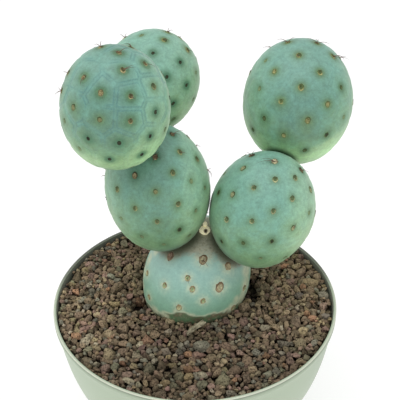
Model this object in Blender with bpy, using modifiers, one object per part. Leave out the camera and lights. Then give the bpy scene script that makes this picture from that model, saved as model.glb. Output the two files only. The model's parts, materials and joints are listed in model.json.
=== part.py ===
"""Potted tephrocactus: six jointed segments with areoles and spines, rooted in a bowl of lava grit.

The origin is the centre of the pot's underside, +Z is up and the viewer's side is -Y.
"""

import math
import random
from collections import namedtuple

import bmesh
import bpy
from mathutils import Euler, Matrix, Vector

MM = 0.001
GAP = 0.3 * MM                      # clearance between neighbouring pieces

# Pot
POT_HEIGHT = 58 * MM
RIM_RADIUS = 55 * MM                # outside of the rim's bead
WALL = 1.6 * MM
FLOOR = 2.0 * MM
BEAD_HEIGHT = 2.4 * MM
BEAD_PROUD = 0.5 * MM
BEAD_ROUND = 0.6 * MM
BOWL_TAPER = 0.107                  # the bowl draws in by this share of the depth
BOWL_CURVE = 103.0                  # and by this times the depth cubed, per square metre
FOOT_ROUND = 3.5 * MM
POT_STEPS = 48
POT_LEVELS = 5
DRAIN_HOLES = 6
DRAIN_RADIUS = 1.9 * MM
DRAIN_RING = 17 * MM

# Grit
GRIT_AT_WALL = POT_HEIGHT - 4.8 * MM
GRIT_RISE = 1.6 * MM                # how much higher the bed stands round the stem
GRIT_TOP_RINGS = 2
GRIT_STEPS = 36
GRAIN_SIZE = 6.4 * MM               # edge of a coarse grain, a skewed block
GRAIN_SHORT = (0.72, 0.95)          # its other two edges, as shares of the first
GRAIN_SPACING = 7.4 * MM
GOLDEN_ANGLE = 137.508              # spreads the grains evenly, each turned this far from the one before
GRAIN_SINK = 1.3 * MM               # its middle below the bed
GRAIN_CLEAR = 0.7 * MM              # no grain's middle nearer to the stem
GRAIN_EDGE = 2.2 * MM               # the outermost grains' middles from the wall
GRAIN_UNEVEN = 0.4                  # millimetres up or down
STALK_FROM = Vector((4.6, -15.0, 1.2)) * MM     # bit of dry stalk, from the rim plane's centre
STALK_TO = Vector((-4.2, -20.5, -0.8)) * MM
STALK_RADIUS = (1.2 * MM, 0.7 * MM)

# Stem
BODY_STEPS = 20
BODY_RINGS = 11
JOINT_DEPTH = 0.9 * MM              # how deep two round segments would cross if they weren't cut flat
JOINT_CLEAR = 6.5 * MM              # no areole nearer to the middle of a joint
AREOLE_RADIUS = 1.3 * MM
AREOLE_FOOT = 1.35                  # its width at the root and at the top, as shares of that
AREOLE_TOP = 0.8
AREOLE_HEIGHT = 0.45 * MM
AREOLE_ROOT = 1.2 * MM
AREOLE_SIDES = 5
SPINE_RADIUS = 0.33 * MM
SPINE_LENGTH = (4.5, 7.5)           # millimetres
SPINE_LEAN = (56, 78)               # degrees away from the skin's normal
SPINE_ROOT = 1.0 * MM
SPINE_SIDES = 3
SPINES_EACH = 2
SPINE_WANDER = 35                   # degrees that a spine may turn from its even place
SPINY_ABOVE = 0.52                  # areoles above this height of a segment, from -1 to 1, bear spines
NEIGHBOUR_CLEAR = 0.8 * MM
BURIED_BELOW = POT_HEIGHT + 1.5 * MM
ROOT_LENGTH = 22 * MM
ROOT_RADIUS = (5.0 * MM, 1.6 * MM)
BUD_RADIUS = 1.5 * MM
BUD_HEIGHT = 1.6 * MM
BUD_AT = (279, 55)                  # azimuth and elevation on the base segment

# A segment is a round body, longer along its axis than it is wide. joint is the azimuth and elevation, in
# degrees, of the side of its parent that it stands on, and lean the azimuth and tilt of its own axis. Areoles
# follow a spiral round the tip: their number, the angle from one to the next, the first one's angle, how they
# crowd towards the tip, and the tip's azimuth and tilt.
Segment = namedtuple("Segment", "name parent joint radius half lean areoles tip")

SEGMENTS = (
    Segment("stem_base", None, None, 20.9, 24.3, (55, 38), (53, 137.25, 271, 0.86), (118, 29)),
    Segment("stem_left", "stem_base", (197, 65), 19.5, 24.2, (109, 19), (58, 138.05, 255, 1.17), (78, 16)),
    Segment("stem_right", "stem_base", (337, 50), 19.3, 22.1, (45, 29), (62, 137.75, 136, 1.10), (13, 23)),
    Segment("stem_left_front", "stem_left", (227, 58), 18.6, 21.6, (96, 4), (57, 137.1, 67, 1.05), (206, 17)),
    Segment("stem_left_rear", "stem_left", (97, 35), 18.6, 20.4, (46, 46), (59, 137.3, 144, 1.14), (96, 34)),
    Segment("stem_right_top", "stem_right", (64, 35), 20.7, 23.9, (75, 27), (57, 137.6, 46, 1.02), (66, 29)),
)
BASE_CENTRE = Vector((0.9, 8.6, 4.2)) * MM      # from the rim plane's centre
BASE_AREOLE_SCALE = 1.4             # old areoles are wider

SKIN = ((0.20, 0.39, 0.31), 0.55)
CORKY_SKIN = ((0.27, 0.45, 0.36), 0.60)
LAVA = ((0.13, 0.075, 0.05), 0.95)
PLASTIC = ((0.50, 0.56, 0.47), 0.35)


def clear_scene():
    for obj in list(bpy.data.objects):
        bpy.data.objects.remove(obj, do_unlink=True)


def new_collection(name):
    collection = bpy.data.collections.new(name)
    bpy.context.scene.collection.children.link(collection)
    return collection


def material(name, colour, roughness):
    made = bpy.data.materials.new(name)
    made.use_nodes = True
    shader = made.node_tree.nodes["Principled BSDF"]
    shader.inputs["Base Color"].default_value = (*colour, 1.0)
    shader.inputs["Roughness"].default_value = roughness
    shader.inputs["Metallic"].default_value = 0.0
    return made


def new_object(name, bm, collection, finish=None):
    """Makes an object of a bmesh and frees the bmesh."""
    bmesh.ops.recalc_face_normals(bm, faces=bm.faces)
    mesh = bpy.data.meshes.new(name)
    bm.to_mesh(mesh)
    bm.free()
    obj = bpy.data.objects.new(name, mesh)
    collection.objects.link(obj)
    if finish:
        mesh.materials.append(finish)
    return obj


def apply_modifiers(obj):
    depsgraph = bpy.context.evaluated_depsgraph_get()
    finished = bpy.data.meshes.new_from_object(obj.evaluated_get(depsgraph))
    obj.modifiers.clear()
    obj.data = finished


def combine(obj, operation, others):
    """Joins a collection of closed shapes to an object, or cuts them from it, and removes them."""
    boolean = obj.modifiers.new(operation.lower(), "BOOLEAN")
    boolean.operation = operation
    boolean.solver = "MANIFOLD"
    boolean.operand_type = "COLLECTION"
    boolean.collection = others
    apply_modifiers(obj)
    for other in list(others.objects):
        bpy.data.objects.remove(other, do_unlink=True)
    bpy.data.collections.remove(others)


def new_cutters(name):
    cutters = new_collection(name)
    cutters.hide_render = True
    return cutters


def keep_largest_body(obj):
    """Drops the loose scraps that a cut can leave."""
    bm = bmesh.new()
    bm.from_mesh(obj.data)
    waiting = set(bm.verts)
    bodies = []
    while waiting:
        front = [waiting.pop()]
        body = set(front)
        while front:
            for edge in front.pop().link_edges:
                for vert in edge.verts:
                    if vert in waiting:
                        waiting.remove(vert)
                        body.add(vert)
                        front.append(vert)
        bodies.append(body)
    bodies.sort(key=len)
    for scrap in bodies[:-1]:
        bmesh.ops.delete(bm, geom=list(scrap), context="VERTS")
    bm.to_mesh(obj.data)
    bm.free()


def shade_round(obj, angle=35):
    obj.data.shade_smooth()
    obj.data.set_sharp_from_angle(angle=math.radians(angle))


def direction(azimuth, elevation):
    """Unit vector at an azimuth from +X and an elevation above level, in degrees."""
    turn = math.radians(azimuth)
    rise = math.radians(elevation)
    return Vector((math.cos(turn) * math.cos(rise), math.sin(turn) * math.cos(rise), math.sin(rise)))


def along(axis):
    """Rotation that takes +Z to the axis."""
    return Vector((0, 0, 1)).rotation_difference(axis).to_matrix().to_4x4()


# The pot

def bowl_radius(height):
    depth = POT_HEIGHT - height
    return RIM_RADIUS - BEAD_PROUD - BOWL_TAPER * depth - BOWL_CURVE * depth ** 3


def bowl_inside(height, thickness):
    """Radius and height of the point at a thickness inside the bowl's outer side."""
    depth = POT_HEIGHT - height
    slope = BOWL_TAPER + 3 * BOWL_CURVE * depth ** 2
    length = math.hypot(1, slope)
    return bowl_radius(height) - thickness / length, height + thickness * slope / length


def inside_wall(thickness, floor, top):
    """Profile of the bowl's inner side from its floor up to a height, at a thickness inside its outer side."""
    points = []
    for level in range(POT_LEVELS + 1):
        height = FOOT_ROUND + (top - FOOT_ROUND) * (level / POT_LEVELS) ** 0.9
        radius, rise = bowl_inside(height, thickness)
        if rise > floor + FOOT_ROUND / 2 and rise < top - FOOT_ROUND / 2:
            points.append((radius, rise))
    lowest = bowl_inside(FOOT_ROUND, thickness)[0] - FOOT_ROUND / 2
    return [(lowest, floor)] + points + [(bowl_radius(top) - thickness, top)]


def turned(name, profile, steps, collection, finish=None):
    """Turns a profile of radius and height, which runs down its outer side, round the Z axis."""
    bm = bmesh.new()
    verts = [bm.verts.new((radius, 0, height)) for radius, height in profile]
    for first, second in zip(verts, verts[1:]):
        bm.edges.new((first, second))
    mesh = bpy.data.meshes.new(name)
    bm.to_mesh(mesh)
    bm.free()
    obj = bpy.data.objects.new(name, mesh)
    collection.objects.link(obj)
    if finish:
        mesh.materials.append(finish)
    screw = obj.modifiers.new("turn", "SCREW")
    screw.axis = "Z"
    screw.angle = math.tau
    screw.steps = steps
    screw.render_steps = steps
    screw.use_merge_vertices = True
    screw.merge_threshold = 0.00001
    apply_modifiers(obj)
    return obj


def make_pot(parts):
    wall_top = POT_HEIGHT - BEAD_HEIGHT
    profile = [(0, FLOOR)] + inside_wall(WALL, FLOOR, POT_HEIGHT)
    profile += [
        (RIM_RADIUS - BEAD_ROUND, POT_HEIGHT),
        (RIM_RADIUS, POT_HEIGHT - BEAD_ROUND),
        (RIM_RADIUS, wall_top + BEAD_ROUND),
    ]
    for level in range(POT_LEVELS):
        height = wall_top + (FOOT_ROUND - wall_top) * level / (POT_LEVELS - 1)
        profile.append((bowl_radius(height), height))
    profile += [(bowl_radius(0) - FOOT_ROUND / 2, 0), (0, 0)]
    pot = turned("pot", profile, POT_STEPS, parts, material("pot_plastic", *PLASTIC))

    drains = new_cutters("drains")
    for hole in range(DRAIN_HOLES):
        place = DRAIN_RING * direction(360 * hole / DRAIN_HOLES, 0)
        bm = bmesh.new()
        bmesh.ops.create_cone(
            bm, cap_ends=True, segments=12, radius1=DRAIN_RADIUS, radius2=DRAIN_RADIUS, depth=4 * FLOOR,
            matrix=Matrix.Translation(place),
        )
        new_object("drain", bm, drains)
    combine(pot, "DIFFERENCE", drains)
    shade_round(pot)


# The stem

def reach(segment, normal):
    """From a segment's centre to the point of its skin that faces along a normal."""
    axis = direction(segment.lean[0], 90 - segment.lean[1])
    wide = (segment.radius * MM) ** 2
    long = (segment.half * MM) ** 2
    pull = wide * normal + (long - wide) * axis.dot(normal) * axis
    return pull / math.sqrt(pull.dot(normal))


def segment_centres():
    """Stands each segment on its parent, where the skins of both face each other."""
    by_name = {segment.name: segment for segment in SEGMENTS}
    centres = {SEGMENTS[0].name: BASE_CENTRE + Vector((0, 0, POT_HEIGHT))}
    for segment in SEGMENTS[1:]:
        normal = direction(*segment.joint)
        parent = by_name[segment.parent]
        centres[segment.name] = (
            centres[segment.parent] + reach(parent, normal) + reach(segment, normal) - JOINT_DEPTH * normal
        )
    return centres


def skin_point(segment, centre, unit):
    """Point and normal of the skin for a direction on the unit sphere."""
    axis = direction(segment.lean[0], 90 - segment.lean[1])
    up = unit.dot(axis)
    side = unit - up * axis
    point = centre + segment.radius * MM * side + segment.half * MM * up * axis
    normal = (side / segment.radius + up * axis / segment.half).normalized()
    return point, normal


def areole_directions(segment):
    """Directions of a segment's areoles on the unit sphere, tip first, with their height from 1 to -1."""
    count, step, start, crowd = segment.areoles
    tip = direction(segment.tip[0], 90 - segment.tip[1])
    across = Vector((0, 1, 0)).cross(tip).normalized()
    onward = tip.cross(across)
    for index in range(count):
        height = 1 - 2 * ((index + 0.5) / count) ** crowd
        angle = math.radians(start - step * index)
        wide = math.sqrt(1 - height * height)
        yield height, wide * math.cos(angle) * across + wide * math.sin(angle) * onward + height * tip


def skin_distance(segment, centre, point):
    """Roughly how far a point lies outside a segment's skin."""
    axis = direction(segment.lean[0], 90 - segment.lean[1])
    offset = point - centre
    up = offset.dot(axis)
    side = (offset - up * axis).length
    scale = math.hypot(side / (segment.radius * MM), up / (segment.half * MM))
    return (scale - 1) * segment.radius * MM


def joint_planes(segment, centres):
    """Point and outward normal of each flat where this segment meets another."""
    by_name = {other.name: other for other in SEGMENTS}
    planes = []
    for other in SEGMENTS:
        if other.parent != segment.name and segment.parent != other.name:
            continue
        child = other if other.parent == segment.name else segment
        parent = by_name[child.parent]
        normal = direction(*child.joint)
        touch = centres[parent.name] + reach(parent, normal) - JOINT_DEPTH / 2 * normal
        outward = normal if parent is segment else -normal
        planes.append((touch - GAP / 2 * outward, outward))
    return planes


def round_body(segment, centre, grow=0.0):
    """A segment's bare body, grown outwards by a distance."""
    axis = direction(segment.lean[0], 90 - segment.lean[1])
    wide = segment.radius * MM + grow
    long = segment.half * MM + grow
    size = Matrix.Diagonal((wide, wide, long, 1.0))
    bm = bmesh.new()
    bmesh.ops.create_uvsphere(
        bm, u_segments=BODY_STEPS, v_segments=BODY_RINGS, radius=1.0,
        matrix=Matrix.Translation(centre) @ along(axis) @ size,
    )
    return bm


def cut_flat(bm, point, outward):
    """Cuts a body off at a plane and closes it there."""
    bmesh.ops.bisect_plane(
        bm, geom=bm.verts[:] + bm.edges[:] + bm.faces[:], dist=1e-7,
        plane_co=point, plane_no=outward, clear_outer=True,
    )
    open_edges = [edge for edge in bm.edges if edge.is_boundary]
    bmesh.ops.holes_fill(bm, edges=open_edges, sides=0)


def add_cone(collection, name, start, end, start_radius, end_radius, sides):
    """A closed cone or tapered rod from one point to another."""
    bm = bmesh.new()
    length = (end - start).length
    bmesh.ops.create_cone(
        bm, cap_ends=True, segments=sides, radius1=start_radius, radius2=end_radius, depth=length,
        matrix=Matrix.Translation((start + end) / 2) @ along((end - start) / length),
    )
    bmesh.ops.remove_doubles(bm, verts=bm.verts, dist=1e-7)
    return new_object(name, bm, collection)


def is_free(point, segment, centres, clear):
    """True where a point lies clear of every other segment."""
    return all(
        skin_distance(other, centres[other.name], point) > clear
        for other in SEGMENTS if other is not segment
    )


def add_spines(extras, segment, centres, point, normal, draw):
    """A few stiff spines that spread from an areole."""
    side = normal.orthogonal().normalized()
    first = draw.uniform(0, 360)
    for index in range(SPINES_EACH):
        around = first + 360 * index / SPINES_EACH + draw.uniform(-SPINE_WANDER, SPINE_WANDER)
        lean = math.radians(draw.uniform(*SPINE_LEAN))
        outward = Matrix.Rotation(math.radians(around), 3, normal) @ side
        heading = math.cos(lean) * normal + math.sin(lean) * outward
        tip = point + draw.uniform(*SPINE_LENGTH) * MM * heading
        if is_free(tip, segment, centres, NEIGHBOUR_CLEAR):
            root = point - SPINE_ROOT * heading
            add_cone(extras, "spine", root, tip, SPINE_RADIUS, 0.0, SPINE_SIDES)


def make_segment(segment, centres, parts, finish):
    """One segment of the stem with its areoles and spines in one closed solid."""
    draw = random.Random(segment.name)
    centre = centres[segment.name]
    planes = joint_planes(segment, centres)
    bm = round_body(segment, centre)
    for point, outward in planes:
        cut_flat(bm, point, outward)
    body = new_object(segment.name, bm, parts, finish)

    extras = new_collection(segment.name + "_extras")
    for height, unit in areole_directions(segment):
        point, normal = skin_point(segment, centre, unit)
        if any((point - flat).length < JOINT_CLEAR for flat, _ in planes):
            continue
        if point.z < BURIED_BELOW and segment.parent is None:
            continue
        if not is_free(point + AREOLE_HEIGHT * normal, segment, centres, NEIGHBOUR_CLEAR):
            continue
        wide = AREOLE_RADIUS * (1.0 if segment.parent else BASE_AREOLE_SCALE)
        add_cone(
            extras, "areole", point - AREOLE_ROOT * normal, point + AREOLE_HEIGHT * normal,
            AREOLE_FOOT * wide, AREOLE_TOP * wide, AREOLE_SIDES,
        )
        if height > SPINY_ABOVE and segment.parent:
            add_spines(extras, segment, centres, point, normal, draw)
    if segment.parent is None:
        add_root_and_bud(extras, segment, centre)
    combine(body, "UNION", extras)
    shade_round(body)


def root_ends(segment, centre):
    """Top and bottom of the root below the base segment."""
    lowest = centre + reach(segment, Vector((0, 0, -1)))
    return lowest + ROOT_RADIUS[0] * Vector((0, 0, 1)), lowest - ROOT_LENGTH * Vector((0, 0, 1))


def add_root_and_bud(extras, segment, centre):
    top, bottom = root_ends(segment, centre)
    add_cone(extras, "root", top, bottom, *ROOT_RADIUS, 10)
    point, normal = skin_point(segment, centre, direction(*BUD_AT))
    add_cone(extras, "bud", point - BUD_RADIUS * normal, point + BUD_HEIGHT * normal, BUD_RADIUS, BUD_RADIUS / 2, 8)


# The grit

def bed_height(radius):
    """Height of the bed under the coarse grains."""
    share = min(radius / RIM_RADIUS, 1.0)
    return GRIT_AT_WALL + GRIT_RISE * (1 - share * share)


def make_grit(centres, parts):
    """The bed of grit, with its coarse grains, round a plain hole for the base segment and its root."""
    draw = random.Random("lava grit")
    bottom = FLOOR + GAP
    side = inside_wall(WALL + GAP, bottom, GRIT_AT_WALL)
    side.reverse()
    edge = side[0][0]
    rings = [edge * ring / GRIT_TOP_RINGS for ring in range(GRIT_TOP_RINGS)]
    top = [(radius, bed_height(radius)) for radius in rings]
    profile = top + side + [(0, bottom)]
    bed = turned("grit", profile, GRIT_STEPS, parts, material("lava_grit", *LAVA))

    base = SEGMENTS[0]
    centre = centres[base.name]
    grains = new_collection("grains")
    reach_out = edge - GRAIN_EDGE
    count = int(math.pi * reach_out ** 2 / GRAIN_SPACING ** 2)
    for index in range(count):
        radius = reach_out * math.sqrt((index + 0.5) / count)
        place = radius * direction(GOLDEN_ANGLE * index, 0)
        place.z = bed_height(radius) - GRAIN_SINK + draw.uniform(-GRAIN_UNEVEN, GRAIN_UNEVEN) * MM
        if skin_distance(base, centre, place) < GRAIN_CLEAR:
            continue
        turn = Euler([draw.uniform(0, math.tau) for _ in range(3)]).to_matrix().to_4x4()
        size = Matrix.Diagonal((1.0, draw.uniform(*GRAIN_SHORT), draw.uniform(*GRAIN_SHORT), 1.0))
        bm = bmesh.new()
        bmesh.ops.create_cube(bm, size=GRAIN_SIZE, matrix=Matrix.Translation(place) @ turn @ size)
        new_object("grain", bm, grains)
    rim_centre = Vector((0, 0, POT_HEIGHT))
    add_cone(grains, "stalk", rim_centre + STALK_FROM, rim_centre + STALK_TO, *STALK_RADIUS, 6)
    combine(bed, "UNION", grains)

    room = new_cutters("pot_room")
    wall = inside_wall(WALL + GAP, bottom, POT_HEIGHT)
    wall.reverse()
    ceiling = POT_HEIGHT + GRAIN_SIZE
    turned("room", [(0, ceiling), (wall[0][0], ceiling)] + wall + [(0, bottom)], GRIT_STEPS, room)
    combine(bed, "INTERSECT", room)

    hole = new_cutters("stem_hole")
    new_object("body", round_body(base, centre, GAP), hole)
    root_top, root_bottom = root_ends(base, centre)
    down = (root_bottom - root_top).normalized()
    add_cone(
        hole, "root", root_top, root_bottom + GAP * down, ROOT_RADIUS[0] + GAP, ROOT_RADIUS[1] + GAP, 10,
    )
    combine(bed, "DIFFERENCE", hole)
    keep_largest_body(bed)
    shade_round(bed, 30)


def main():
    clear_scene()
    parts = new_collection("potted_tephrocactus")
    centres = segment_centres()
    make_pot(parts)
    make_grit(centres, parts)
    skin = material("skin", *SKIN)
    corky_skin = material("corky_skin", *CORKY_SKIN)
    for segment in SEGMENTS:
        make_segment(segment, centres, parts, skin if segment.parent else corky_skin)


main()
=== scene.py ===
"""Looks of the potted tephrocactus: waxy segments, areoles and spines, lava grit and the moulded bowl.

The origin is the centre of the pot's underside, +Z is up and the viewer's side is -Y. Sizes are in metres.
"""

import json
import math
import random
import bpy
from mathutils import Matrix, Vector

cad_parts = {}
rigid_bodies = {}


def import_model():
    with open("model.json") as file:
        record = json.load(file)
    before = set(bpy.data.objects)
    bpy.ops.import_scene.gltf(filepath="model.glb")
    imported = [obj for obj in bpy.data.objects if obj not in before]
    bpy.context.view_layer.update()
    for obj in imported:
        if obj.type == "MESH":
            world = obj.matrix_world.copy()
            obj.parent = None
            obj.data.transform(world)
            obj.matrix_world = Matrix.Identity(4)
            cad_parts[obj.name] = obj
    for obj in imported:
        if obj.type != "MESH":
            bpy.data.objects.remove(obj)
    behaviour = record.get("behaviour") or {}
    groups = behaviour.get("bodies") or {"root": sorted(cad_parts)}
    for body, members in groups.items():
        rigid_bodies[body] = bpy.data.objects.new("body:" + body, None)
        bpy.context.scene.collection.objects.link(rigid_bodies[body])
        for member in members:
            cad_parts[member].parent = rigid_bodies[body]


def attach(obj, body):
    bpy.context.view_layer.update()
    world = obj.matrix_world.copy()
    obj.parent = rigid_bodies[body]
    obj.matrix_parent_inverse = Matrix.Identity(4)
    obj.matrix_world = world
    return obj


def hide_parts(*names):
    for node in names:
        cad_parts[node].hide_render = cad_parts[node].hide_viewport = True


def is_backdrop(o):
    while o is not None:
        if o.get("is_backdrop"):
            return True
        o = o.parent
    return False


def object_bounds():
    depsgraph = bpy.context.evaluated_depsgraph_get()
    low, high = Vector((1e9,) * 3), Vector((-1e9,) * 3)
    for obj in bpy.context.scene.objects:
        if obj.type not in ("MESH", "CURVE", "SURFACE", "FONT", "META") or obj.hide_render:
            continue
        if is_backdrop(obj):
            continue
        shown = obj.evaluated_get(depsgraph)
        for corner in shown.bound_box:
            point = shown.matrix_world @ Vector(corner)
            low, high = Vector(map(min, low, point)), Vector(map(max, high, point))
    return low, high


bl_info = {
    "name": "Potted tephrocactus",
    "version": (1, 0, 0),
    "blender": (4, 5, 0),
    "location": "3D View > Sidebar > Cactus",
    "description": "Dresses the potted tephrocactus: skin, areoles, spines, grit and pot",
    "category": "Object",
}

from collections import namedtuple

import bmesh
import bpy
import numpy as np
from bpy.props import FloatProperty, FloatVectorProperty, IntProperty, PointerProperty
from mathutils import Matrix, Vector

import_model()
CAD_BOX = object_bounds()

MM = 0.001
BODY = "root"
UP = Vector((0, 0, 1))

# Pot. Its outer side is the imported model's, and its wall and rim are as thin as the real ones
POT_HEIGHT = 58 * MM
RIM_RADIUS = 55 * MM
WALL = 0.6 * MM
FLOOR = 2.0 * MM
BEAD_HEIGHT = 2.4 * MM              # the rim is a bead this tall,
BEAD_PROUD = 0.5 * MM               # which stands out from the bowl by this much
BEAD_ROUND = 0.6 * MM
LIP = 0.5 * MM                      # the rim's lip ends this far down, at a fine groove
GROOVE = 0.16 * MM
BOWL_TAPER = 0.107                  # the bowl draws in by this share of the depth
BOWL_CURVE = 103.0                  # and by this times the depth cubed, per square metre
FOOT_ROUND = 3.5 * MM
POT_STEPS = 192
POT_LEVELS = 26
DRAIN_HOLES = 6
DRAIN_RADIUS = 1.9 * MM
DRAIN_RING = 17 * MM
DRAIN_SIDES = 32

# Grit
GAP = 0.3 * MM                      # clearance between the bed and what stands in it
BED_DROP = 5.5 * MM                 # the solid bed lies this far under the grit's surface
BED_STEPS = 120
BED_RINGS = 24
GRIT_AT_WALL = POT_HEIGHT - 1.1 * MM
GRIT_RISE = 0.3 * MM                # how much higher the surface stands in the middle
MAP_REACH = 56                      # millimetres, half the side of the height map that the grains settle on
CELL = 0.5                          # and its step
TRIES = 14                          # places that each grain tries before it settles in the lowest
GIVE_UP = 260                       # misses in a row before the bed counts as full
GRAIN_RADIUS = 1.45                 # millimetres, the usual one
GRAIN_SPREAD = 0.33                 # and how widely the others lie round it
GRAIN_FLAT = (0.7, 0.92)            # height of a grain over its width
GRAIN_LONG = (1.0, 1.45)            # and length over width
GRAIN_CORE = 0.85                   # grains may cross, as if they had this share of their radius
GRAIN_SUNK = 0.45                   # their middles lie at least this share of it under the surface
GRAIN_SWELL = 1.22                  # how much larger they are made once they lie in place
GRAIN_LIGHT = (0.7, 1.25)           # how their brightness varies
GRAIN_TINT = 0.02                   # and their tint
CHIPS = 9                           # flat sides of a grain
CHIP_AT = (0.42, 0.82)              # their distance from its middle, as a share of its radius
STONE_ROUGH = 0.07                  # how uneven its surface is, as a share of its radius
STONE_TILT = 0.35                   # how far from level the stones lie, in radians
STONE_FLAT = 0.8                    # height over width of those that stand out
STONE_SUNK = 0.55                   # whose middles lie this share of their radius under the surface
# Hollows in the grit beside the base segment, whose grains are painted with shadow: place and radius, and the
# depth of all, in millimetres
HOLLOWS = ((-21.8, -1.5, 2.6), (23.5, 12.0, 1.9), (23.2, 8.2, 2.0), (22.9, 4.6, 1.9), (22.4, 1.5, 1.7))
HOLLOW_DEPTH = 7.5
# The bit of dry stalk: its ends, from the middle of the pot's mouth, and its radii there
STALK_ENDS = (Vector((3.4, -15.6, 1.3)) * MM, Vector((-3.2, -20.2, -0.6)) * MM)
STALK_RADII = (1.1 * MM, 0.6 * MM)

# Stem
JOINT_DEPTH = 0.9 * MM              # how deep two round segments would cross if they weren't cut flat
SKIN_FINENESS = 7                   # subdivisions of a segment's ball
ROOT_LENGTH = 22 * MM
ROOT_RADIUS = (5.0 * MM, 1.6 * MM)
ROOT_SIDES = 24
AREOLE_APART = 5.8 * MM             # the spiral adds no areole nearer than this to another one,
JOINT_CLEAR = 6.2 * MM              # to the middle of a joint,
NEIGHBOUR_CLEAR = 0.7 * MM          # to another segment
GRIT_CLEAR = 3 * MM                 # or to the grit
LINE_AT = 0.6 * MM                  # the fine lines run this far to each side of the seam between two areoles
AREOLE_SIDES = 14
AREOLE_WIDE = (0.88, 1.14)          # how the areoles' widths vary
AREOLE_OVAL = (1.1, 1.3)            # and how much longer they are towards the tip
AREOLE_SUNK = 0.04 * MM
FELT_LIGHT = (0.85, 1.15)           # how the felt's brightness varies from areole to areole
BRISTLE_RADIUS = 0.1 * MM
BRISTLE_SUNK = 0.1 * MM
BRISTLE_LONG = (0.7, 1.3)           # how the bristles' lengths vary
SPINE_LONG = (3.5, 6.0)             # millimetres, the lengths of spines on the far side
SPINE_LEAN = (62, 84)               # and how many degrees they lean
SPINE_BOW = (0.10, 0.2)             # how far spines bow outwards, as a share of their lengths
SPINE_THICK = (0.85, 1.2)           # how their thickness varies
SPINE_TOP = 0.12                    # radius of the tip over that of the foot
SPINE_CLEAR = 0.5 * MM              # a tip that comes nearer to another segment is left out
FACING = 0.12                       # skin that faces the viewer by less than this cosine is out of view

# A segment is a round body, longer along its axis than it is wide, in millimetres. joint is the azimuth and
# elevation, in degrees, of the side of its parent that it stands on, and lean the azimuth and tilt of its
# axis. spiral gives its areoles on the far side: their number, the angle from one to the next, the angle of
# the first and how they crowd towards the tip. tip is the azimuth and tilt of the line that the spiral turns
# round. net is how strongly the net of fine lines between the areoles shows. The last field is how pale the
# skin is above and below, and how much paler it gets towards its left and right sides: the segment's own tone
# with painted light, a painted glow of bounced light underneath and painted light on its sides.
Segment = namedtuple("Segment", "name parent joint radius half lean spiral tip net wax")

SEGMENTS = (
    Segment(
        "stem_base", None, None, 20.9, 24.3, (55, 38), (53, 137.25, 271, 0.86), (118, 29), 0.1,
        (0.86, 0.96, 0.2, 0.1),
    ),
    Segment(
        "stem_left", "stem_base", (197, 65), 19.5, 24.2, (109, 19), (58, 138.05, 255, 1.17), (78, 16), 0.25,
        (0.85, 1.0, 0.12, 0.6),
    ),
    Segment(
        "stem_right", "stem_base", (337, 50), 19.3, 22.1, (45, 29), (62, 137.75, 136, 1.10), (13, 23), 0.25,
        (1.1, 1.0, 0.0, 0.28),
    ),
    Segment(
        "stem_left_front", "stem_left", (227, 58), 18.6, 21.6, (96, 4), (57, 137.1, 67, 1.05), (206, 17), 1.0,
        (0.71, 1.45, 0.05, 0.75),
    ),
    Segment(
        "stem_left_rear", "stem_left", (97, 35), 18.6, 20.4, (46, 46), (59, 137.3, 144, 1.14), (96, 34), 0.25,
        (1.18, 1.4, 0.0, 0.1),
    ),
    Segment(
        "stem_right_top", "stem_right", (64, 35), 20.7, 23.9, (75, 27), (57, 137.6, 46, 1.02), (66, 29), 0.35,
        (0.77, 1.95, 0.38, 0.36),
    ),
)
BASE_CENTRE = Vector((0.9, 8.6, 62.2)) * MM

# The line on the base segment where its clean skin ends: azimuth and height, in degrees and millimetres
SHORE = (
    (0, 59), (60, 58.5), (120, 59), (180, 57.5), (212, 57.8), (229, 57.8), (240, 60.2), (252, 61.8),
    (261, 61.2), (274, 60.3), (287, 60.2), (300, 59.7), (323, 59.9),
)
# Azimuth, elevation and radius of pale patches on the base segment, most of them on its left and right sides,
# in degrees and millimetres
PATCHES = (
    (335, 6, 4.0), (340, 17, 4.0), (327, -4, 3.4), (184, 12, 3.1), (189, 0, 2.7), (183, 27, 3.1),
    (310, -6, 2.4), (187, 41, 2.7), (222, -8, 2.6), (236, -8, 2.2), (316, 0, 2.0),
)
BUD_AT = (309, 80)                  # the fork between the left and right segments, on the base segment's ball

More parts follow.
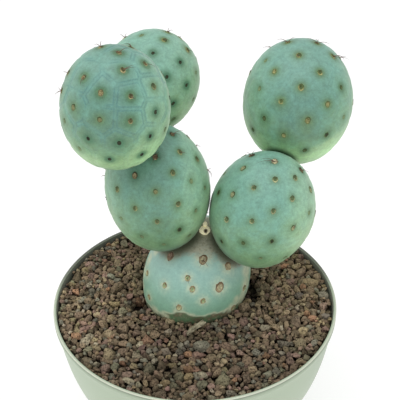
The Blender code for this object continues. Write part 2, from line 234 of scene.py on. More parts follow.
# Areoles on the viewer's side, each at an azimuth and elevation on its segment's ball
AREOLES = {
    "stem_base": {
        "scar": ((221, 50),),
        "corky": ((279, 52), (296, 23), (313, 37)),
        "cork_ring": ((258, 36), (277, 14), (231, 24), (265, 26), (252, 7), (330, 4), (211, 2), (313, -8),
            (196, 19)),
    },
    "stem_left": {
        "olive": ((323, 55), (346, 38), (295, 41), (270, 27), (294, 14), (247, 10), (270, 0), (221, 19)),
        "faint": ((317, 28), (315, 1), (227, -7), (251, -20), (276, -30), (337, 13), (310, -27)),
        "eye": ((294, -12),),
        "bristly": ((243, 38), (272, 57), (354, 71)),
    },
    "stem_right": {
        "pale": ((193, 65), (247, 53), (218, 40), (223, 16), (254, 22), (288, 61), (330, 52), (306, 37),
            (278, 31), (301, 9), (345, 29)),
        "faint": ((267, -21), (327, 13), (164, 40), (299, -30)),
        "eye": ((247, -2), (219, -11), (191, 30), (277, 1)),
        "woolly": ((333, 80),),
        "bristly": ((136, 70), (359, 48)),
    },
    "stem_left_front": {
        "tan": ((295, 58), (227, 48), (259, 38), (295, 33), (290, 12), (319, 79), (346, 53), (191, 23),
            (147, 77), (40, 64), (183, 39)),
        "olive": ((226, 20), (259, 15), (331, 33)),
        "faint": ((229, -21), (211, 2), (337, -12)),
        "pit": ((321, 12), (245, -5), (277, -7), (311, -8), (265, -27), (303, -27)),
    },
    "stem_left_rear": {
        "ring": ((330, 70), (355, 41), (32, 66), (148, 53)),
        "faint": ((185, 81), (344, 16), (336, -13), (304, -26)),
        "pit": ((280, 58), (322, 38), (295, 29), (320, 12), (300, -2)),
    },
    "stem_right_top": {
        "ring": ((257, 72), (350, 55), (221, 49), (297, 51), (266, 40), (244, 26), (297, 22), (274, 11),
            (251, -4), (149, 75), (18, 72), (14, 41)),
        "faint": ((188, 51), (211, 29), (319, 3)),
        "eye": ((322, 30), (228, 7), (212, -11), (296, -7), (274, -21)),
    },
}

# Spines on the viewer's side: the azimuth and elevation of an areole, then those of the tips of its spines,
# each with how far it stands off the skin in millimetres
SPINES = {
    "stem_base": (
        ((279, 52), ((273, 45, 0.8), (285, 44, 0.8), (280, 46, 0.9))),
        ((258, 36), ((261, 31, 0.6),)),
    ),
    "stem_left": (
        ((323, 55), ((328, 50, 1.2),)),
        ((272, 57), ((276, 64, 1.6), (264, 54, 1.2), (265, 49, 1.2), (281, 54, 1.2), (261, 57, 1.2),
            (281, 61, 1.8))),
        ((354, 71), ((356, 63, 1.2), (21, 56, 1.2), (353, 67, 1.2))),
        ((17, 38), ((17, 33, 1.2), (23, 36, 0.6))),
        ((360, 19), ((4, 9, 0.7), (8, 15, 1.0))),
        ((180, 12), ((181, 11, 1.5),)),
        ((360, 19), ((352, 13, 1.2),)),
    ),
    "stem_right": (
        ((333, 80), ((220, 83, 1.2), (223, 76, 1.2), (285, 77, 1.2), (266, 80, 1.2), (327, 75, 1.2))),
        ((136, 70), ((132, 61, 1.2), (117, 70, 1.2), (149, 70, 1.2))),
        ((359, 48), ((2, 44, 1.0), (3, 51, 0.6), (3, 37, 1.2))),
        ((301, 9), ((303, 15, 0.8),)),
    ),
    "stem_left_front": (
        ((295, 58), ((319, 55, 1.0), (320, 57, 1.3))),
        ((227, 48), ((232, 40, 1.2),)),
        ((259, 38), ((263, 33, 1.2),)),
        ((319, 79), ((268, 79, 1.0), (355, 73, 1.2))),
        ((346, 53), ((351, 44, 1.2),)),
        ((191, 23), ((183, 13, 1.6), (179, 21, 0.8), (182, 16, 1.1))),
        ((147, 77), ((134, 63, 0.6), (117, 67, 1.2))),
        ((40, 64), ((8, 80, 1.2), (54, 63, 0.8))),
        ((183, 39), ((173, 33, 1.2),)),
        ((295, 33), ((298, 30, 1.0),)),
    ),
    "stem_left_rear": (
        ((32, 66), ((50, 59, 1.0), (40, 54, 0.8))),
        ((148, 53), ((151, 52, 2.3), (141, 57, 0.8))),
        ((330, 70), ((328, 64, 1.2),)),
        ((355, 41), ((353, 36, 1.2),)),
    ),
    "stem_right_top": (
        ((350, 55), ((10, 36, 0.6), (348, 48, 1.2))),
        ((14, 41), ((9, 35, 2.3), (11, 38, 2.3))),
        ((149, 75), ((132, 56, 1.0), (115, 80, 1.2), (165, 71, 1.2))),
        ((18, 72), ((49, 82, 1.2), (15, 57, 1.2), (45, 61, 0.6), (344, 77, 1.2))),
        ((141, 50), ((148, 45, 1.9), (142, 49, 1.0))),
        ((257, 72), ((254, 64, 1.2),)),
    ),
}

# How each kind of areole is made, in millimetres: radius and height of its ring, how many bristles stand in
# it and how long they are, and how strongly the skin round it turns green and, closer in, olive or pale.
# Then its colours: the foot, the ring where it is pale and where it is dark, and the cup.
AreoleKind = namedtuple("AreoleKind", "radius height bristles length halo glow foot ring dark cup")

KINDS = {
    "ring": AreoleKind(
        1.0, 0.3, 4, 0.6, 1.1, 0.8, (86, 120, 78), (168, 164, 112), (78, 90, 54), (88, 104, 62),
    ),
    "pale": AreoleKind(
        0.95, 0.3, 4, 0.6, 0.5, 0.5, (92, 122, 86), (184, 184, 140), (78, 86, 56), (96, 114, 76),
    ),
    "tan": AreoleKind(
        0.88, 0.3, 6, 0.7, 1.5, 0.5, (92, 122, 88), (178, 164, 120), (86, 82, 54), (100, 100, 64),
    ),
    "olive": AreoleKind(
        0.95, 0.3, 4, 0.6, 0.8, 0.6, (90, 122, 82), (156, 156, 112), (76, 86, 54), (92, 104, 68),
    ),
    "faint": AreoleKind(
        0.8, 0.16, 2, 0.5, 0.6, 0.35, (108, 142, 104), (114, 132, 92), (90, 110, 74), (122, 140, 100),
    ),
    "eye": AreoleKind(
        0.85, 0.25, 5, 0.6, 1.1, 0.5, (98, 132, 90), (102, 122, 76), (64, 78, 46), (48, 58, 38),
    ),
    "pit": AreoleKind(
        0.66, 0.22, 4, 0.6, 1.2, 0.0, (76, 106, 78), (66, 74, 48), (42, 48, 34), (30, 34, 24),
    ),
    "bristly": AreoleKind(
        1.0, 0.4, 8, 0.9, 1.0, 0.0, (84, 98, 70), (116, 104, 74), (60, 52, 38), (142, 130, 98),
    ),
    "woolly": AreoleKind(
        1.1, 0.6, 9, 1.0, 0.6, 0.3, (112, 116, 84), (204, 196, 154), (104, 94, 68), (224, 218, 180),
    ),
    "corky": AreoleKind(
        1.5, 0.4, 9, 0.7, 0.0, 0.9, (134, 114, 86), (186, 170, 134), (126, 106, 80), (178, 172, 138),
    ),
    "cork_ring": AreoleKind(
        1.0, 0.35, 2, 0.5, 0.0, 0.9, (138, 124, 92), (200, 190, 148), (138, 122, 90), (150, 166, 124),
    ),
    "scar": AreoleKind(
        1.35, 0.3, 8, 0.8, 0.6, 0.5, (140, 130, 104), (122, 100, 80), (82, 62, 48), (140, 118, 98),
    ),
}

# Stones that stand out in the grit: place on it, length and width in millimetres, and turn in degrees
STONES = {
    "brown": ((-31.3, 8.7, 6.8, 3.8, 37), (-27.8, -14.8, 5.7, 4.2, 16), (-32.0, 25.4, 3.8, 3.2, 0),
        (13.9, -38.4, 5.4, 4.3, 30), (17.8, -42.3, 4.3, 3.5, 30), (9.7, -20.4, 3.4, 3.7, 0),
        (28.0, 7.0, 4.0, 3.9, 54), (-27.3, -23.3, 4.5, 3.3, -16), (-27.1, -28.0, 4.0, 2.8, 30),
        (-15.1, -43.6, 3.2, 3.5, 0)),
    "grey": ((1.9, -25.8, 6.3, 4.9, 8), (32.4, -24.6, 5.2, 4.1, 0), (28.9, -38.9, 3.6, 2.8, -16),
        (41.2, 2.4, 3.6, 2.6, 0), (50.0, -10.0, 3.5, 2.1, 0)),
    "orange": ((-47.1, 7.1, 3.2, 3.1, 0), (-2.6, -29.1, 3.3, 3.2, -30), (-2.8, -37.2, 2.9, 3.6, 70),
        (26.0, -31.0, 3.3, 2.4, 16), (13.6, -43.3, 3.2, 2.0, 0), (36.6, 20.9, 4.1, 2.0, 0),
        (43.2, 7.4, 2.8, 2.2, 0), (45.0, -11.3, 3.5, 2.1, 0), (-44.9, -18.8, 3.0, 3.7, 63)),
    "rose": ((-41.5, -14.4, 4.9, 2.9, 16), (-18.7, -10.2, 2.7, 3.0, 0), (28.1, -29.3, 2.9, 3.2, 0),
        (5.3, -46.2, 2.5, 2.3, 0), (18.8, -12.7, 4.2, 4.2, 0), (13.4, -20.4, 3.0, 3.3, 0),
        (50.0, -4.5, 3.9, 3.4, 30), (36.4, -31.3, 2.9, 1.8, 0), (34.4, -33.9, 3.6, 2.8, 30),
        (-32.4, -36.3, 3.6, 3.6, 0), (-24.3, -39.3, 4.3, 3.1, 0)),
    "rust": ((-17.8, -21.4, 6.4, 4.1, 0), (0.1, -37.7, 3.2, 3.6, 0)),
    "ochre": ((-31.0, -1.1, 3.9, 2.6, 16), (-49.6, 11.4, 3.2, 2.7, 0), (-2.5, -41.5, 3.2, 3.5, 0),
        (-11.3, -43.7, 3.5, 2.7, 0), (-8.9, -35.4, 3.3, 2.4, 0), (42.0, 27.6, 3.8, 3.2, 30),
        (46.8, 10.3, 8.1, 3.3, -16), (46.5, -15.2, 2.3, 2.5, 0), (-37.5, -21.3, 2.6, 2.5, 0)),
    "tan": ((-41.1, 1.0, 4.7, 3.5, 0), (30.2, -16.1, 3.4, 3.3, 0), (20.0, -37.6, 3.6, 2.8, 0),
        (-9.5, -12.1, 3.4, 2.9, 0), (42.0, 20.4, 4.1, 3.0, 0), (39.1, -24.8, 4.5, 4.1, -30),
        (40.6, -18.1, 4.9, 3.3, 0), (-31.6, -28.0, 6.3, 5.3, 84), (-36.3, -25.8, 3.0, 2.4, 0),
        (-22.5, -35.0, 3.6, 4.0, 0)),
    "slate": ((-6.3, -28.4, 2.6, 3.2, 0), (22.7, -35.5, 2.2, 2.0, 0)),
    "pale": ((26.3, -15.7, 3.8, 4.2, 70), (2.3, -40.4, 3.6, 2.7, 0), (30.9, -2.8, 2.3, 2.2, 0),
        (-40.9, -22.1, 3.4, 3.7, 70), (-26.6, -32.1, 2.6, 2.0, 30), (-15.1, -33.2, 2.9, 2.0, 70),
        (-36.0, -33.7, 2.9, 3.2, 0), (-23.8, -42.9, 4.3, 2.3, -16)),
    "olive": ((-28.3, -5.6, 6.2, 3.6, 48), (8.9, -43.4, 5.3, 4.7, 30), (-6.0, -41.4, 3.6, 3.5, 16),
        (-7.9, -45.1, 3.2, 2.7, 0), (2.2, -45.3, 4.2, 3.5, 0), (-39.7, -26.1, 3.3, 3.7, 0),
        (-29.3, -35.5, 4.3, 3.6, 87), (-16.7, -36.7, 5.4, 4.4, 43), (-20.2, -44.5, 2.8, 2.3, 0),
        (-21.7, -29.7, 4.4, 3.2, 0)),
}
LAVA = {
    "brown": (124, 107, 87), "dark": (102, 90, 72), "grey": (121, 116, 101), "orange": (142, 111, 86),
    "rose": (132, 109, 96), "rust": (131, 103, 84), "ochre": (134, 119, 91), "tan": (141, 126, 100),
    "slate": (94, 89, 77), "pale": (154, 143, 122), "olive": (119, 114, 92),
}
# How often each colour comes among the other grains, in parts of their sum
LAVA_SHARES = {
    "brown": 46, "dark": 16, "grey": 8, "orange": 1, "rose": 9, "rust": 1, "ochre": 4, "tan": 12, "slate": 1,
    "pale": 3, "olive": 4,
}

# The viewpoint: it stands in front of the pot and looks down into it
CAMERA_PLACE = Vector((0, -270.8, 288.2)) * MM
CAMERA_DOWN = 34.18                 # degrees
CAMERA_TURN = 0.52
CAMERA_ROLL = -0.67
CAMERA_SENSOR = 36.0                # millimetres
CAMERA_LENS = 81.19
CAMERA_NEAR = 0.01

# Soft boxes: place, what they aim at, width and tint. Their power is a setting of the same name.
SOFTBOXES = {
    "key": ((-0.05, -0.05, 0.95), (0, 0, 0.08), 0.9, (1.0, 1.0, 1.0)),
    "front": ((0.2, -0.9, 0.3), (0, 0, 0.12), 0.5, (1.0, 1.0, 0.97)),
    "fill": ((-0.75, 0.1, 0.5), (0, 0, 0.08), 0.6, (1.0, 0.99, 0.95)),
}
FLOOR_REACH = 15.0                  # half of the floor's width


def tone(red, green, blue):
    """A colour as a screen shows it, 0 to 255, as the linear values that shaders use."""
    return tuple(
        (value / 255 / 12.92 if value <= 10 else ((value / 255 + 0.055) / 1.055) ** 2.4)
        for value in (red, green, blue)
    )


OLD_SKIN = tone(144, 192, 164)
PALE_CORK = tone(206, 214, 182)


# Settings that a user would change

def colour(name, description, value):
    return FloatVectorProperty(
        name=name, description=description, default=tone(*value), subtype="COLOR", size=3, min=0.0, max=1.0,
    )


def length(name, description, value):
    return FloatProperty(name=name, description=description, default=value, min=0.0, unit="LENGTH")


def power(name, description, value):
    return FloatProperty(name=name, description=description, default=value, min=0.0)


class StemSettings(bpy.types.PropertyGroup):
    bloom: colour("Bloom", "Waxy blue of the upper sides", (114, 164, 146))
    skin: colour("Skin", "Green of the lower sides", (125, 163, 119))
    # Painted rim light: the pale colour painted where the skin faces left and right.
    flank: colour("Flanks", "Yellower green of the left and right sides", (154, 188, 152))
    glow: colour("Glow", "Olive green close to the areoles", (126, 146, 96))
    halo: colour("Halo", "Dark green round the areoles", (68, 116, 84))
    crown: colour("Crown", "Greyer bloom at the very top", (131, 168, 155))
    border: colour("Borders", "Bluer skin between the areoles", (112, 167, 154))
    line: colour("Lines", "Fine net between the areoles", (78, 124, 124))
    # Painted light: the pale colour of bounced light, painted where the skin is painted palest, mostly under
    # the upper segments.
    painted_bounce: colour("Belly", "Paler, yellower skin under the fullest segments", (184, 204, 152))
    cork: colour("Cork", "Old skin of the base segment", (182, 174, 148))
    old_bloom: colour("Old bloom", "Chalky blue of the base segment", (164, 204, 194))
    spine: colour("Spines", "Dry spines", (110, 88, 76))
    spine_radius: length("Spine radius", "Half of a spine's thickness at its foot", 0.13 * MM)
    tubercle: length("Relief", "How far the skin swells between the areoles", 0.22 * MM)


class GritSettings(bpy.types.PropertyGroup):
    finest: length("Finest grain", "Radius of the finest grains", 0.75 * MM)
    coarsest: length("Coarsest grain", "Radius of the coarsest loose grains", 2.4 * MM)
    seed: IntProperty(name="Seed", description="Draws another bed of grains", default=5, min=0)
    bed: colour("Bed", "Dark grit under the grains", (58, 46, 38))
    stalk: colour("Stalk", "Bit of dry stalk", (182, 174, 146))


class PotSettings(bpy.types.PropertyGroup):
    shell: colour("Shell", "Moulded plastic", (175, 190, 166))
    inside: colour("Inside", "Inner wall, dull with dust", (152, 154, 142))
    roughness: FloatProperty(
        name="Roughness", description="Roughness of the plastic", default=0.42, min=0.0, max=1.0,
        subtype="FACTOR",
    )


class StudioSettings(bpy.types.PropertyGroup):
    floor: colour("Floor", "Plain pale floor", (250, 250, 250))
    surround: power("Surround", "Brightness of the white surround", 0.68)
    key: power("Key light", "Power of the soft box above", 2.9)
    front: power("Front light", "Power of the low soft box in front", 0.6)
    fill: power("Fill light", "Power of the soft box on the left", 1.1)


# Directions and the segments' places

def direction(azimuth, elevation):
    """Unit vector at an azimuth from +X and an elevation above level, in degrees."""
    turn = math.radians(azimuth)
    rise = math.radians(elevation)
    return Vector((math.cos(turn) * math.cos(rise), math.sin(turn) * math.cos(rise), math.sin(rise)))


def leaning(azimuth, tilt):
    """Unit vector that tilts from upright towards an azimuth."""
    return direction(azimuth, 90 - tilt)


def along(axis):
    """Rotation that takes +Z to the axis."""
    return UP.rotation_difference(axis).to_matrix().to_4x4()


def axis_of(segment):
    """Unit vector along a segment, towards its tip."""
    return leaning(*segment.lean)


def reach(segment, normal):
    """From a segment's centre to the point of its skin that faces along a normal."""
    axis = axis_of(segment)
    wide = (segment.radius * MM) ** 2
    long = (segment.half * MM) ** 2
    pull = wide * normal + (long - wide) * axis.dot(normal) * axis
    return pull / math.sqrt(pull.dot(normal))


def segment_centres():
    """Stands each segment on its parent, where the skins of both face each other."""
    by_name = {segment.name: segment for segment in SEGMENTS}
    centres = {SEGMENTS[0].name: BASE_CENTRE}
    for segment in SEGMENTS[1:]:
        normal = direction(*segment.joint)
        parent = by_name[segment.parent]
        centres[segment.name] = (
            centres[segment.parent] + reach(parent, normal) + reach(segment, normal) - JOINT_DEPTH * normal
        )
    return centres


CENTRES = segment_centres()


def joint_planes(segment):
    """Point and outward normal of each flat where this segment meets another."""
    by_name = {other.name: other for other in SEGMENTS}
    planes = []
    for child in SEGMENTS:
        if child.parent and segment.name in (child.name, child.parent):
            parent = by_name[child.parent]
            normal = direction(*child.joint)
            touch = CENTRES[parent.name] + reach(parent, normal) - JOINT_DEPTH / 2 * normal
            outward = normal if parent is segment else -normal
            planes.append((touch - GAP / 2 * outward, outward))
    return planes


def skin_point(segment, unit):
    """Point and normal of the skin for a direction on the unit sphere."""
    axis = axis_of(segment)
    up = unit.dot(axis)
    side = unit - up * axis
    point = CENTRES[segment.name] + segment.radius * MM * side + segment.half * MM * up * axis
    return point, (side / segment.radius + up * axis / segment.half).normalized()


def outside(segment, points):
    """Roughly how far points lie outside a segment's bare ball."""
    axis = np.array(axis_of(segment))
    offset = points - np.array(CENTRES[segment.name])
    up = offset @ axis
    side = np.linalg.norm(offset - up[..., None] * axis, axis=-1)
    return (np.hypot(side / (segment.radius * MM), up / (segment.half * MM)) - 1) * segment.radius * MM


def nearest_neighbour(segment, points):
    """Distance from points to the nearest other segment."""
    return np.min([outside(other, points) for other in SEGMENTS if other is not segment], axis=0)


# Mesh helpers

def ease(value, low, high):
    """0 below low, 1 above high and a smooth rise between them."""
    share = np.clip((value - low) / (high - low), 0, 1)
    return share * share * (3 - 2 * share)


def fade(value, low, high):
    """1 below low, 0 above high and a smooth fall between them."""
    return 1 - ease(value, low, high)


def bell(value, width):
    """1 at 0, with a smooth fall to both sides that is about as wide as width."""
    return np.exp(-(value / width) ** 2)


def far_from(points, place):
    """Distance of each point from a place."""
    return np.linalg.norm(points - np.array(place), axis=1)


def waves(points, length, seed, count=14):
    """Gentle unevenness from -1 to 1, whose bumps are about as wide as length."""
    draw = np.random.default_rng(seed)
    total = np.zeros(len(points))
    for _ in range(count):
        heading = draw.normal(size=3)
        heading *= math.tau / (length * draw.uniform(1.2, 2.4)) / np.linalg.norm(heading)
        total += np.sin(points @ heading + draw.uniform(0, math.tau))
    return total / math.sqrt(count) / 1.5


def coordinates(mesh):
    """Places of the vertices, one to a row."""
    flat = np.empty(len(mesh.vertices) * 3, np.float32)
    mesh.vertices.foreach_get("co", flat)
    return flat.reshape(-1, 3).astype(float)


def move_to(mesh, points):
    """Moves the vertices to new places."""
    mesh.vertices.foreach_set("co", np.asarray(points, np.float32).ravel())
    mesh.update()


def record(mesh, **layers):
    """Stores values, or colours, of all vertices under names that the finishes read."""
    for name, values in layers.items():
        values = np.asarray(values, np.float32)
        if values.ndim == 1:
            mesh.attributes.new(name, "FLOAT", "POINT").data.foreach_set("value", values)
        else:
            opaque = np.concatenate([values, np.ones((len(values), 1), np.float32)], axis=1)
            mesh.attributes.new(name, "FLOAT_COLOR", "POINT").data.foreach_set("color", opaque.ravel())


def to_mesh(bm, name):
    """Turns editable geometry into a mesh and frees it."""
    mesh = bpy.data.meshes.new(name)
    bm.to_mesh(mesh)
    bm.free()
    return mesh


def copies(template, count, name):
    """A mesh with a template's shape over and over, all in one place, for the caller to spread."""
    bm = bmesh.new()
    for _ in range(count):
        bm.from_mesh(template)
    return to_mesh(bm, name)


def new_piece(mesh, finish, node, slot, sharp=None):
    """A smooth object at the origin that rides on the body and stands for a node of the solids. sharp is the
    angle, in degrees, from which its edges are sharp."""
    mesh.materials.clear()
    mesh.materials.append(finish)
    mesh.shade_smooth()
    if sharp:
        mesh.set_sharp_from_angle(angle=math.radians(sharp))
    piece = bpy.data.objects.new(mesh.name, mesh)
    bpy.context.scene.collection.objects.link(piece)
    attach(piece, BODY)
    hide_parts(node)


def cut_away(mesh, cutters):
    """Cuts closed shapes from a closed mesh and gives the mesh that is left."""
    block = bpy.data.objects.new(mesh.name, mesh)
    bpy.context.scene.collection.objects.link(block)
    tools = bpy.data.collections.new("tools")
    bpy.context.scene.collection.children.link(tools)
    for cutter in cutters:
        tools.objects.link(bpy.data.objects.new("tool", cutter))
    boolean = block.modifiers.new("cut", "BOOLEAN")
    boolean.operation = "DIFFERENCE"
    boolean.solver = "MANIFOLD"
    boolean.operand_type = "COLLECTION"
    boolean.collection = tools
    depsgraph = bpy.context.evaluated_depsgraph_get()
    left = bpy.data.meshes.new_from_object(block.evaluated_get(depsgraph))
    for tool in list(tools.objects):
        bpy.data.objects.remove(tool, do_unlink=True)
    bpy.data.collections.remove(tools)
    name = mesh.name
    bpy.data.objects.remove(block, do_unlink=True)
    bpy.data.meshes.remove(mesh)
    left.name = name
    return left


def turned(profile, steps, name):
    """Turns a profile of radius and height round the Z axis."""
    bm = bmesh.new()
    verts = [bm.verts.new((radius, 0, height)) for radius, height in profile]
    edges = [bm.edges.new(pair) for pair in zip(verts, verts[1:])]
    bmesh.ops.spin(
        bm, geom=verts + edges, cent=(0, 0, 0), axis=(0, 0, 1), dvec=(0, 0, 0), angle=math.tau, steps=steps,
        use_merge=True, use_normal_flip=False, use_duplicate=False,
    )
    bmesh.ops.remove_doubles(bm, verts=bm.verts, dist=1e-6)
    bmesh.ops.recalc_face_normals(bm, faces=bm.faces)
    return to_mesh(bm, name)


def rod(start, end, start_radius, end_radius, sides, name):
    """A closed cone or tapered rod from one point to another."""
    bm = bmesh.new()
    length = (end - start).length
    bmesh.ops.create_cone(
        bm, cap_ends=True, segments=sides, radius1=start_radius, radius2=end_radius, depth=length,
        matrix=Matrix.Translation((start + end) / 2) @ along((end - start) / length),
    )
    bmesh.ops.recalc_face_normals(bm, faces=bm.faces)
    return to_mesh(bm, name)


def egg(centre, axis, radii, fineness):
    """A ball that is stretched by its radii, the last of which lies along an axis."""
    bm = bmesh.new()
    bmesh.ops.create_icosphere(
        bm, subdivisions=fineness, radius=1.0,
        matrix=Matrix.Translation(centre) @ along(axis) @ Matrix.Diagonal((*radii, 1.0)),
    )
    return bm


# Materials

def maths(operation, swapped=False):
    """A method that adds a Math node to a value and another value or a number."""
    def method(self, other):
        first, second = (other, self) if swapped else (self, other)
        return self.finish.node("ShaderNodeMath", {"operation": operation}, {0: first, 1: second})
    return method


class Value:
    """A socket of a material's nodes. Python's operators on values add Math nodes."""

    def __init__(self, finish, socket):
        self.finish = finish
        self.socket = socket

    __add__ = maths("ADD")
    __radd__ = maths("ADD", swapped=True)
    __sub__ = maths("SUBTRACT")
    __rsub__ = maths("SUBTRACT", swapped=True)
    __mul__ = maths("MULTIPLY")
    __rmul__ = maths("MULTIPLY", swapped=True)
    at_least = maths("MAXIMUM")
    at_most = maths("MINIMUM")

    def ease(self, low, high):
        """0 below low, 1 above high and a smooth rise between them."""
        return self.finish.node(
            "ShaderNodeMapRange", {"interpolation_type": "SMOOTHSTEP"},
            {"Value": self, "From Min": low, "From Max": high},
        )


class Finish:
    """A material and its nodes, wired from Python."""

    def __init__(self, name, **constants):
        self.material = bpy.data.materials.new(name)
        self.material.use_nodes = True
        self.tree = self.material.node_tree
        self.shader = self.tree.nodes["Principled BSDF"]
        for socket, value in constants.items():
            self.shader.inputs[socket.replace("_", " ")].default_value = value
        self.place = self.node("ShaderNodeTexCoord", {}, {}, output="Object")

    def node(self, kind, settings, inputs, output=0):
        """Adds a node, sets it up, fills or links its sockets and gives one of its outputs."""
        made = self.tree.nodes.new(kind)
        for name, value in settings.items():
            setattr(made, name, value)
        for name, value in inputs.items():
            self.feed(made.inputs[name], value)
        return Value(self, made.outputs[output])

    def feed(self, socket, value):
        if isinstance(value, Value):
            self.tree.links.new(value.socket, socket)
        elif socket.type == "RGBA":
            socket.default_value = (*value, 1.0)
        else:
            socket.default_value = value

    def stored(self, name, output="Fac"):
        """A value, or with the output Color a colour, that is stored for each vertex."""
        return self.node("ShaderNodeAttribute", {"attribute_name": name}, {}, output=output)

    def noise(self, size, detail=3.0, roughness=0.55, place=None):
        """Noise from 0 to 1 whose blotches are about as wide as size."""
        return self.node(
            "ShaderNodeTexNoise", {},
            {"Vector": place or self.place, "Scale": 1 / size, "Detail": detail, "Roughness": roughness},
        )

    def cells(self, size):
        """Distance from the middle of the nearest of many cells that are about as wide as size."""
        return self.node(
            "ShaderNodeTexVoronoi", {}, {"Vector": self.place, "Scale": 1 / size}, output="Distance",
        )

    def mix(self, share, first, second):
        """A colour that goes from the first to the second as the share rises from 0 to 1."""
        return self.node("ShaderNodeMix", {"data_type": "RGBA"}, {0: share, 6: first, 7: second}, output=2)

    def ramp(self, value, *stops):
        """The colour of a value on a ramp. Each stop is a place from 0 to 1 and a colour."""
        made = self.node("ShaderNodeValToRGB", {}, {"Fac": value}, output="Color")
        elements = made.socket.node.color_ramp.elements
        while len(elements) < len(stops):
            elements.new(1.0)
        for element, (position, shade) in zip(elements, stops):
            element.position = position
            element.color = (*shade, 1.0)
        return made

    def shade(self, first, brightness):
        """A colour made brighter or darker by a value round 1."""
        return self.node(
            "ShaderNodeVectorMath", {"operation": "SCALE"}, {0: first, "Scale": brightness}, output="Vector",
        )

    def bump(self, height, distance, strength):
        return self.node(
            "ShaderNodeBump", {}, {"Height": height, "Distance": distance, "Strength": strength},
            output="Normal",
        )

    def done(self, **varying):
        """Links what changes over the surface to the shader and gives the material."""
        for socket, value in varying.items():
            self.feed(self.shader.inputs[socket.replace("_", " ")], value)
        return self.material


def skin_finish(stem, corky=False):
    """Waxy skin: bluer bloom on the upper sides, dark halos round the areoles and a faint net of lines, with
    painted light on its top, sides and underside and painted shade where other segments stand close. The
    corky skin of the base segment is chalky, with cork, pale patches and a dirty foot."""
    finish = Finish(
        "corky_skin" if corky else "waxy_skin",
        Sheen_Weight=0.2, Sheen_Roughness=0.32, Sheen_Tint=(0.85, 1.0, 0.76, 1.0),
    )
    patch = finish.noise(9 * MM, 4.0)
    blotch = finish.noise(3.5 * MM, 4.0, 0.6)
    fine = finish.noise(1.3 * MM, 4.0, 0.6)
    dust = finish.noise(0.45 * MM, 2.0, 0.6)
    upper = finish.stored("lift")
    bloomed = (upper + (patch - 0.5) * 1.2 + (blotch - 0.5) * 0.7).ease(-0.55, 0.75)
    body = finish.mix(bloomed, stem.skin, stem.bloom)
    # Painted light: each segment's own tone, painted paler underneath and on its sides, and paler still on
    # top.
    wax = finish.stored("wax")
    body = finish.shade(body, wax + upper.ease(0.4, 0.95) * 0.24)
    body = finish.mix(upper.ease(0.2, 0.95) * 0.45, body, stem.crown)
    # Painted bounce light where the skin is painted palest.
    body = finish.mix(wax.ease(1.05, 1.5) * 0.3, body, stem.painted_bounce)
    # Painted rim light where the skin faces left and right.
    body = finish.mix(finish.stored("flank") * (0.15 + patch * 0.38), body, stem.flank)
    if corky:
        chalk = finish.mix(upper.ease(0.0, 0.7), OLD_SKIN, stem.old_bloom)
        body = finish.mix(0.85, body, finish.shade(chalk, 0.9 + patch * 0.2))
    upward = upper.ease(-0.5, 0.3)
    body = finish.mix(finish.stored("border") * upward * (0.05 + blotch * 0.6), body, stem.border)
    line = finish.stored("line") * (0.2 + upward * 0.6) * (0.4 + fine * 0.9)
    body = finish.mix(line.at_most(1.0), body, stem.line)
    halo = finish.stored("halo") * (0.5 + blotch * 0.9)
    body = finish.mix(halo.at_most(1.0) * 0.85, body, stem.halo)
    glow = finish.stored("glow") * (fine * 3.6 - 0.85 if corky else 0.5 + fine * 0.9)
    body = finish.mix(glow.at_most(1.0).at_least(0.0), body, PALE_CORK if corky else stem.glow)
    mottle = blotch * 0.45 + fine * 0.7 + dust * 0.45
    body = finish.shade(body, 0.62 + mottle * 0.48 if corky else 0.2 + mottle)
    # The colour of the painted shade where other segments stand close.
    shade = finish.shade(stem.halo, 0.45)
    roughness = 0.4 + fine * 0.14
    relief = fine * 0.5 + dust * 0.5
    if corky:
        rough = finish.noise(0.8 * MM, 5.0, 0.65)
        grain = finish.noise(2.6 * MM, 5.0, 0.65)
        cork = (finish.stored("cork") + (grain - 0.5) * 1.5).ease(0.15, 0.95)
        bark = finish.ramp(rough, (0.25, tone(112, 98, 78)), (0.5, stem.cork), (0.75, tone(190, 182, 160)))
        body = finish.mix(cork * 0.85, body, bark)
        sunk = finish.stored("sunk")
        soil = finish.mix(grain.ease(0.4, 0.6), tone(92, 122, 84), tone(112, 96, 72))
        soil = finish.mix(fine.ease(0.56, 0.68) * 0.6, soil, tone(170, 166, 136))
        body = finish.mix(sunk * 0.92, body, finish.shade(soil, 0.35 + rough * 1.3))
        shore = (finish.stored("shore") * (0.4 + grain * 1.2)).at_most(1.0)
        body = finish.mix(shore * 0.85, body, finish.shade(PALE_CORK, 0.75 + fine * 0.5))
        roughness = roughness + cork * 0.25
        relief = relief + (cork + sunk + shore).at_most(1.0) * rough * 4.0
        shade = tone(74, 82, 58)
    # Painted shade where other segments stand close to the skin.
    body = finish.mix(finish.stored("shelter") * 0.9, body, shade)
    return finish.done(Base_Color=body, Roughness=roughness, Normal=finish.bump(relief, 0.05 * MM, 0.6))


def felt_finish():
    """Short felt of the areoles, coloured vertex by vertex from foot to cup."""
    finish = Finish("areole_felt")
    fine = finish.noise(0.35 * MM, 3.0, 0.7)
    body = finish.shade(finish.stored("felt", "Color"), 0.3 + fine * 1.4)
    relief = finish.bump(fine, 0.12 * MM, 0.8)
    return finish.done(Base_Color=body, Roughness=0.82 + fine * 0.15, Normal=relief)


def spine_finish(stem):
    """Dry spines, paler at the foot and darker towards the tip."""
    finish = Finish("dry_spine")
    streak = finish.noise(0.8 * MM, 3.0)
    body = finish.ramp(
        finish.stored("run") + (streak - 0.5) * 0.3,
        (0.0, tone(128, 98, 74)), (0.25, stem.spine), (0.8, tone(78, 56, 48)), (1.0, tone(104, 80, 66)),
    )
    relief = finish.bump(streak, 0.05 * MM, 0.5)
    return finish.done(Base_Color=body, Roughness=0.5 + streak * 0.3, Normal=relief)


